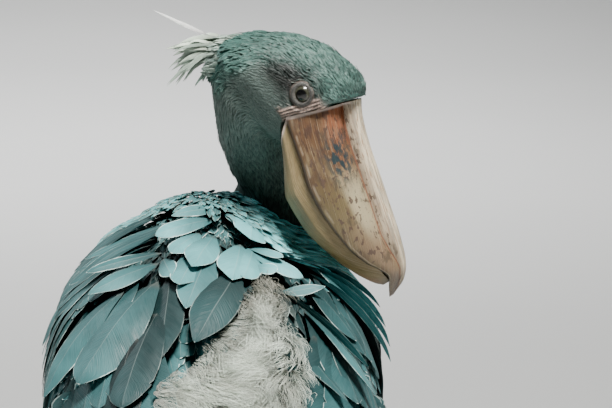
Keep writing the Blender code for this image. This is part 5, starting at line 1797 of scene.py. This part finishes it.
def crest_feathers():
    """Lance-shaped plumes in curved locks behind the nape, one long, straight and nearly
    white. The crown's rear feathers flow out into them."""
    layer = Layer(81)
    rng = layer.rng
    pale = np.array((0.58, 0.66, 0.55))
    bow_way = np.array((-0.843, 0.0, 0.537))
    for n, (root, tip, bow, count, paleness) in enumerate(LOCKS):
        for k in range(count + (0 if n == 0 else 3)):
            sideways = rng.uniform(-1, 1) * (n > 0)
            start = np.array((root[0], 0.012 * sideways, root[1]))
            start += np.array((rng.uniform(0, 0.010), 0, rng.uniform(-0.006, 0.006))) * (n > 0)
            end = np.array((tip[0], -0.004 + 0.006 * sideways, tip[1]))
            reach = 1 if k == 0 else rng.uniform(0.55, 0.98)
            end = start + (end - start) * reach
            if k:
                end += rng.uniform(-0.0035, 0.0035, 3)
            middle = (start + end) / 2 + bow_way * bow * rng.uniform(0.7, 1.3)
            face = unit(np.array((-0.30, -0.80, 0.50)) + rng.uniform(-0.3, 0.3, 3))
            share = paleness * rng.uniform(0.55, 1.0)
            layer.lay(from_head(start), from_head(middle), from_head(end), face @ HEAD_AXES,
                      0.0044 if n == 0 else rng.uniform(0.0042, 0.0064),
                      np.full(3, 0.62) if n == 0 else tint("cap") * (1 - share) + pale * share,
                      0.0006)
    skin_piece = bpy.data.objects["skin"]
    tree = BVHTree.FromObject(skin_piece, bpy.context.evaluated_depsgraph_get())
    for _ in range(NAPE_PLUMES):
        low = rng.uniform() ** 0.8
        back = rng.uniform()
        across = rng.uniform(-1, 1)
        aim = np.array((-0.070 - 0.028 * (1 - low), 0.030 * across, 0.016 - 0.058 * low))
        aim += np.array((-0.49, 0, -0.87)) * 0.034 * back
        place, normal, _, _ = tree.find_nearest(from_head(aim))
        normal = np.array(normal)
        root = np.array(place) - 0.0012 * normal
        end = np.array((-0.1110 + 0.030 * low, 0.012 * across, -0.0440 - 0.020 * low))
        ahead = from_head(end + rng.uniform(-0.003, 0.003, 3)) - root
        length = min(np.linalg.norm(ahead), rng.uniform(0.020, 0.030))
        tip = root + unit(ahead) * length + normal * rng.uniform(0.001, 0.003)
        middle = (root + tip) / 2 + normal * rng.uniform(0.001, 0.0035)
        # Painted shade: the lower nape plumes are less pale, under the crest.
        share = rng.uniform(0.0, 0.55) * (1 - 0.7 * low) + 0.1 * back
        layer.lay(root, middle, tip, normal, rng.uniform(0.0028, 0.0046),
                  tint("cap") * (1 - share) + pale * share * 0.9, 0.0004, rng.uniform(-0.3, 0.3))
    mesh, patch = layer.mesh("crest_points")
    piece = realised("crest_feathers", mesh, laid_tree(), Vanes=vanes("lance"),
                     Finish=coat_finish("plume"), Ruffle=0.004, Ruffle_Scale=40.0,
                     Patch_Size=patch)
    riding(piece, "plumage", "crest")


def plume_feathers():
    """Long plumes that hang over the breast."""
    layer = Layer(91)
    rng = layer.rng
    route = np.array(PLUME_ROUTE) + SHIFT
    outward = unit(PLUME_FACE)
    sideways = unit(np.cross(Z_AXIS, outward))

    def place(t, turn, shrink):
        centre = np.array([float(along(tuple(enumerate(route[:, k])), t)) for k in range(3)])
        size = float(along(tuple(enumerate(PLUME_RADII)), t)) * shrink
        return (centre + sideways * size * math.cos(turn)
                + outward * size * PLUME_DEPTH * math.sin(turn))

    for _ in range(150):
        start = rng.uniform(-0.2, 1.7)
        turn = rng.uniform(-0.6, math.pi + 0.6)
        span = rng.uniform(0.9, 1.3)
        shrink = rng.uniform(0.7, 0.97)
        root, middle, tip = (place(start + span * t, turn + 0.25 * t, shrink) for t in (0, .5, 1))
        face = unit(middle - place(start + span / 2, turn, 0.0))
        tone = tint("pale") if rng.uniform() < 0.45 else tint("body")
        layer.lay(root, middle, tip, face, rng.uniform(0.006, 0.010),
                  tone * rng.uniform(0.7, 1.2), 0.0006, rng.uniform(-0.3, 0.3))
    mesh, patch = layer.mesh("plume_points")
    piece = realised("breast_feathers", mesh, laid_tree(), Vanes=vanes("lance"),
                     Finish=coat_finish("plume"),
                     Ruffle=0.004, Ruffle_Scale=20.0, Patch_Size=patch)
    riding(piece, "plumage", "breast_plumes")


# Coats that are scattered over the skin: where each grows, its kind of vane and finish, then
# spacing, slimness, length factor, sink, stray, roll, lift, camber, ruffle and ruffle scale
COATS = {
    "cap_feathers": ("grow_cap", "lance", "short", 0.0020, 0.23, 1.05, 0.0005, 0.20, 0.40, 0.15,
                     0.06, 0.0090, 90.0),
    "cheek_feathers": ("grow_cheek", "hair", "sleek", 0.0019, 0.26, 1.0, 0.0004, 0.12, 0.10,
                       0.08, 0.05, 0.0020, 80.0),
    "neck_feathers": ("grow_neck", "hair", "sleek", 0.0025, 0.13, 1.0, 0.0006, 0.16, 0.20, 0.09,
                      0.05, 0.0050, 70.0),
    "mantle_feathers": ("grow_mantle", "lance", "fringed", 0.0052, 0.28, 1.50, 0.0020, 0.25,
                        0.30, 0.16, 0.20, 0.0060, 70.0),
    "body_feathers": ("grow_body", "round", "fringed", 0.0105, 0.46, 1.0, 0.0030, 0.25, 0.20,
                      0.16, 0.15, 0.0040, 60.0),
    "arm_feathers": ("grow_arm", "round", "fringed", 0.0090, 0.62, 1.0, 0.0020, 0.18, 0.12,
                     0.14, 0.18, 0.0020, 60.0),
    "thigh_feathers": ("grow_thigh", "small", "fringed", 0.0060, 0.40, 1.0, 0.0020, 0.25, 0.20,
                       0.14, 0.12, 0.0040, 60.0),
    "leg_scales": ("grow_scales", "scale", "scaled", 0.0030, 0.80, 0.85, 0.0002, 0.15, 0.0,
                   0.03, 0.05, 0.0, 60.0),
}


def scattered(name):
    """One coat of small feathers over the skin."""
    (cover, kind, finish, spacing, slim, length, sink, stray, roll, lift, camber,
     ruffle, ruffle_scale) = COATS[name]
    slot = "leg_skin" if kind == "scale" else "plumage"
    piece = realised(
        name, bpy.data.objects["skin"].data, scattered_tree(), Vanes=vanes(kind),
        Finish=coat_finish(finish), Ruffle=ruffle, Ruffle_Scale=ruffle_scale,
        Patch_Size=SKIN_PATCH,
        Cover=cover, Spacing=spacing / measure("closeness"), Slimness=slim, Length=length,
        Sink=sink, Stray=stray, Roll=roll, Lift=lift, Camber=camber, Seed=SEED)
    return riding(piece, slot)


@functools.cache
def coat_finish(name):
    """The finish of one kind of feather: fringe and its width, shaft and its width, depth of
    the barbs, strength of the streaks, colour of the downy base and how far up it reaches."""
    fringe, shaft = tint("fringe"), tint("shaft")
    kinds = {
        "fringed": (fringe, 0.0011, shaft, 0.0006, 1.0, 0.35, (0.12, 0.13, 0.12), 0.22),
        "short": (np.array((0.25, 0.42, 0.365)), 0.0006, shaft, 0.0003, 0.8, 0.5, (0.08, 0.10, 0.095), 0.35),
        "sleek": (fringe * 0.23, 0.0003, shaft * 0.6, 0.0001, 0.5, 0.7, (0.035, 0.045, 0.04),
                  0.3),
        "downy": (tint("down"), 0.0002, tint("down"), 0.0001, 0.3, 0.15, (0.50, 0.46, 0.40),
                  0.25),
        "scaled": ((0.20, 0.205, 0.195), 0.0003, tint("leg"), 0.0001, 0.3, 0.5,
                   tint("leg") * 0.6, 0.3),
        "plume": ((0.56, 0.68, 0.60), 0.0007, (0.44, 0.52, 0.45), 0.0004, 1.0, 0.5,
                  (0.09, 0.125, 0.115), 0.22),
        "broad": (fringe, 0.0011, shaft, 0.0007, 1.0, 0.30, (0.06, 0.07, 0.065), 0.12),
    }
    return feather_finish(name + " feathers", *kinds[name])


FLOOR_REACH = 7.0
WALL_HEIGHT = 6.0


def backdrop():
    """A plain pale floor that curves up into a round wall a long way off."""
    bm = bmesh.new()
    rings = [(0.0, 0.0)] + [(FLOOR_REACH * k / 6, 0.0) for k in range(1, 7)]
    rings += [(FLOOR_REACH + WALL_HEIGHT * math.sin(turn), WALL_HEIGHT * (1 - math.cos(turn)))
              for turn in np.radians(np.arange(7.5, 91, 7.5))]
    sides = 64
    previous = None
    for radius, height in rings[1:]:
        ring = [bm.verts.new((radius * math.cos(2 * math.pi * k / sides),
                              radius * math.sin(2 * math.pi * k / sides), height))
                for k in range(sides)]
        if previous is None:
            bm.faces.new(ring)
        else:
            for k in range(sides):
                n = (k + 1) % sides
                bm.faces.new((previous[k], ring[k], ring[n], previous[n]))
        previous = ring
    for face in bm.faces:
        face.smooth = True
    mesh = bpy.data.meshes.new("floor")
    bm.to_mesh(mesh)
    bm.free()
    made, sketch, shader = new_finish("floor", 0.85)
    tone = sketch.noise(object_point(sketch), 1.3, 3.0)
    colour = sketch.mix(tone, (0.80, 0.80, 0.79), (0.84, 0.84, 0.83))
    finish_surface(sketch, shader, colour, tone, 0.0005)
    mesh.materials.append(made)
    floor = bpy.data.objects.new("floor", mesh)
    bpy.context.scene.collection.objects.link(floor)
    floor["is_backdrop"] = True


AIM = np.array((-0.1048, -0.0559, 0.849))
VIEW_TURN = math.radians(8)
VIEW_RISE = math.radians(10)
CAMERA_DISTANCE = 2.6
FRAME_PIXELS = 612
PIXELS_PER_METRE = 1000  # at the head
SENSOR = 36.0


def camera():
    """The photograph's view: from behind, a little from the bird's left and above."""
    back = np.array((math.sin(VIEW_TURN) * math.cos(VIEW_RISE),
                     math.cos(VIEW_TURN) * math.cos(VIEW_RISE), math.sin(VIEW_RISE)))
    right = unit(np.cross(Z_AXIS, back))
    turn = Matrix(np.array((right, np.cross(back, right), back)).T.tolist())
    lens = bpy.data.cameras.new("view")
    lens.sensor_width = SENSOR
    lens.lens = SENSOR * CAMERA_DISTANCE * PIXELS_PER_METRE / FRAME_PIXELS
    lens.clip_end = 100
    made = bpy.data.objects.new("view", lens)
    made.matrix_world = (Matrix.Translation(Vector(AIM + SHIFT + back * CAMERA_DISTANCE))
                         @ turn.to_4x4())
    bpy.context.scene.collection.objects.link(made)
    bpy.context.scene.camera = made


def lamp(name, place, aim, size, power, tint=(1, 1, 1)):
    """A square soft light."""
    light = bpy.data.lights.new(name, "AREA")
    light.size = size
    light.energy = power
    light.color = tint
    made = bpy.data.objects.new(name, light)
    made.location = place
    made.rotation_euler = (Vector(aim) - Vector(place)).to_track_quat("-Z", "Y").to_euler()
    bpy.context.scene.collection.objects.link(made)
    return light


def studio():
    """Soft light: a large key from above and the camera's right, and a weaker fill."""
    world = bpy.data.worlds.new("studio")
    world.use_nodes = True
    sky = world.node_tree.nodes["Background"]
    sky.inputs["Color"].default_value = (0.85, 0.93, 0.95, 1)
    sky.inputs["Strength"].default_value = 0.27
    bpy.context.scene.world = world
    middle = (-0.05, 0.0, 0.8)
    lamp("key", (-0.25, 0.90, 3.0), middle, 0.6, 300, (1.0, 0.98, 0.93))
    lamp("rim", (1.5, -1.2, 2.2), middle, 0.8, 34, (0.92, 0.97, 1.0))
    for side in (-1, 1):
        wash = lamp(f"wash_{side}", (0, side * 6.0, 5.2), (0, side * 6.0, 0), 4.0, 240)
        wash.spread = math.radians(85)
    bpy.context.scene.view_settings.look = "AgX - Punchy"


class MakeSkin(bpy.types.Operator):
    """Make the skin with its folds and lids"""
    bl_idname = "shoebill.skin"
    bl_label = "Skin"

    def execute(self, context):
        skin()
        return {"FINISHED"}


class MakeBill(bpy.types.Operator):
    """Make both halves of the bill"""
    bl_idname = "shoebill.bill"
    bl_label = "Bill"

    def execute(self, context):
        finish = bill_finish()
        bill_half("bill_upper", upper_profile, CULMEN[-1][0], finish, True)
        bill_half("bill_lower", lower_profile, KEEL[-1][0], finish, False)
        return {"FINISHED"}


class MakeEyes(bpy.types.Operator):
    """Make both eyes"""
    bl_idname = "shoebill.eyes"
    bl_label = "Eyes"

    def execute(self, context):
        finish = eye_finish()
        for side_name, side in SIDES:
            eye(side_name, side, finish)
        return {"FINISHED"}


class MakeClaws(bpy.types.Operator):
    """Make the eight claws"""
    bl_idname = "shoebill.claws"
    bl_label = "Claws"

    def execute(self, context):
        finish = claw_finish()
        for side_name, _ in SIDES:
            for toe_name in TOES:
                claw(side_name, toe_name, finish)
        return {"FINISHED"}


class MakeHeadFeathers(bpy.types.Operator):
    """Grow the short feathers of the cap, cheeks and neck"""
    bl_idname = "shoebill.head_feathers"
    bl_label = "Head and neck feathers"

    def execute(self, context):
        scattered("cap_feathers")
        scattered("cheek_feathers")
        scattered("neck_feathers")
        return {"FINISHED"}


class MakeMantleFeathers(bpy.types.Operator):
    """Grow the small feathers at the neck's base"""
    bl_idname = "shoebill.mantle_feathers"
    bl_label = "Mantle feathers"

    def execute(self, context):
        scattered("mantle_feathers")
        mantle_plumes()
        return {"FINISHED"}


class MakeBodyFeathers(bpy.types.Operator):
    """Grow the feathers of the trunk, the wings' fronts and the thighs"""
    bl_idname = "shoebill.body_feathers"
    bl_label = "Body feathers"

    def execute(self, context):
        scattered("body_feathers")
        scattered("arm_feathers")
        scattered("thigh_feathers")
        return {"FINISHED"}


class MakeDown(bpy.types.Operator):
    """Grow the loose down that shows on the back"""
    bl_idname = "shoebill.down"
    bl_label = "Down"

    def execute(self, context):
        back_down()
        return {"FINISHED"}


class MakeScales(bpy.types.Operator):
    """Grow the scales of the shanks and toes"""
    bl_idname = "shoebill.scales"
    bl_label = "Leg scales"

    def execute(self, context):
        scattered("leg_scales")
        return {"FINISHED"}


class MakeShoulders(bpy.types.Operator):
    """Lay the shoulder feathers of both sides"""
    bl_idname = "shoebill.shoulders"
    bl_label = "Shoulder feathers"

    def execute(self, context):
        shoulder_feathers()
        return {"FINISHED"}


class MakeCoverts(bpy.types.Operator):
    """Lay the coverts of both wings"""
    bl_idname = "shoebill.coverts"
    bl_label = "Wing coverts"

    def execute(self, context):
        covert_feathers()
        return {"FINISHED"}


class MakeQuills(bpy.types.Operator):
    """Lay the flight feathers of both wings"""
    bl_idname = "shoebill.quills"
    bl_label = "Wing quills"

    def execute(self, context):
        flight_feathers()
        return {"FINISHED"}


class MakeTail(bpy.types.Operator):
    """Lay the tail feathers and their coverts"""
    bl_idname = "shoebill.tail"
    bl_label = "Tail"

    def execute(self, context):
        tail_feathers()
        return {"FINISHED"}


class MakeCrest(bpy.types.Operator):
    """Lay the crest's plumes"""
    bl_idname = "shoebill.crest"
    bl_label = "Crest"

    def execute(self, context):
        crest_feathers()
        return {"FINISHED"}


class MakePlumes(bpy.types.Operator):
    """Lay the plumes that hang over the breast"""
    bl_idname = "shoebill.plumes"
    bl_label = "Breast plumes"

    def execute(self, context):
        plume_feathers()
        return {"FINISHED"}


class MakeStage(bpy.types.Operator):
    """Make the floor, the lights and the camera"""
    bl_idname = "shoebill.stage"
    bl_label = "Stage"

    def execute(self, context):
        backdrop()
        camera()
        studio()
        return {"FINISHED"}


STEPS = (MakeSkin, MakeBill, MakeEyes, MakeClaws,
             MakeHeadFeathers, MakeMantleFeathers, MakeBodyFeathers, MakeDown,
             MakeScales, MakeShoulders, MakeCoverts, MakeQuills,
             MakeTail, MakeCrest, MakePlumes, MakeStage)


class ShoebillPanel(bpy.types.Panel):
    """The bird's settings, and a button for each step of its making."""
    bl_idname = "VIEW3D_PT_shoebill"
    bl_label = "Shoebill"
    bl_space_type = "VIEW_3D"
    bl_region_type = "UI"
    bl_category = "Shoebill"

    def draw(self, context):
        for settings in (context.scene.shoebill_colours, context.scene.shoebill_sizes):
            box = self.layout.box()
            for name in settings.__annotations__:
                box.prop(settings, name)
        for step in STEPS:
            self.layout.operator(step.bl_idname)


CLASSES = (ShoebillColours, ShoebillSizes, *STEPS, ShoebillPanel)


def register():
    for each in CLASSES:
        bpy.utils.register_class(each)
    bpy.types.Scene.shoebill_colours = bpy.props.PointerProperty(type=ShoebillColours)
    bpy.types.Scene.shoebill_sizes = bpy.props.PointerProperty(type=ShoebillSizes)


def unregister():
    del bpy.types.Scene.shoebill_sizes
    del bpy.types.Scene.shoebill_colours
    for each in reversed(CLASSES):
        bpy.utils.unregister_class(each)


def main():
    register()
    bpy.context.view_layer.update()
    for step in STEPS:
        began = time.time()
        getattr(bpy.ops.shoebill, step.bl_idname.split(".")[1])()
        print("STEP", step.bl_idname, round(time.time() - began, 1))
    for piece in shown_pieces():
        print("TRIS", piece.name, len(getattr(piece.data, "loop_triangles", [])) or sum(
            len(p.vertices) - 2 for p in piece.data.polygons))


if __name__ == "__main__":
    main()
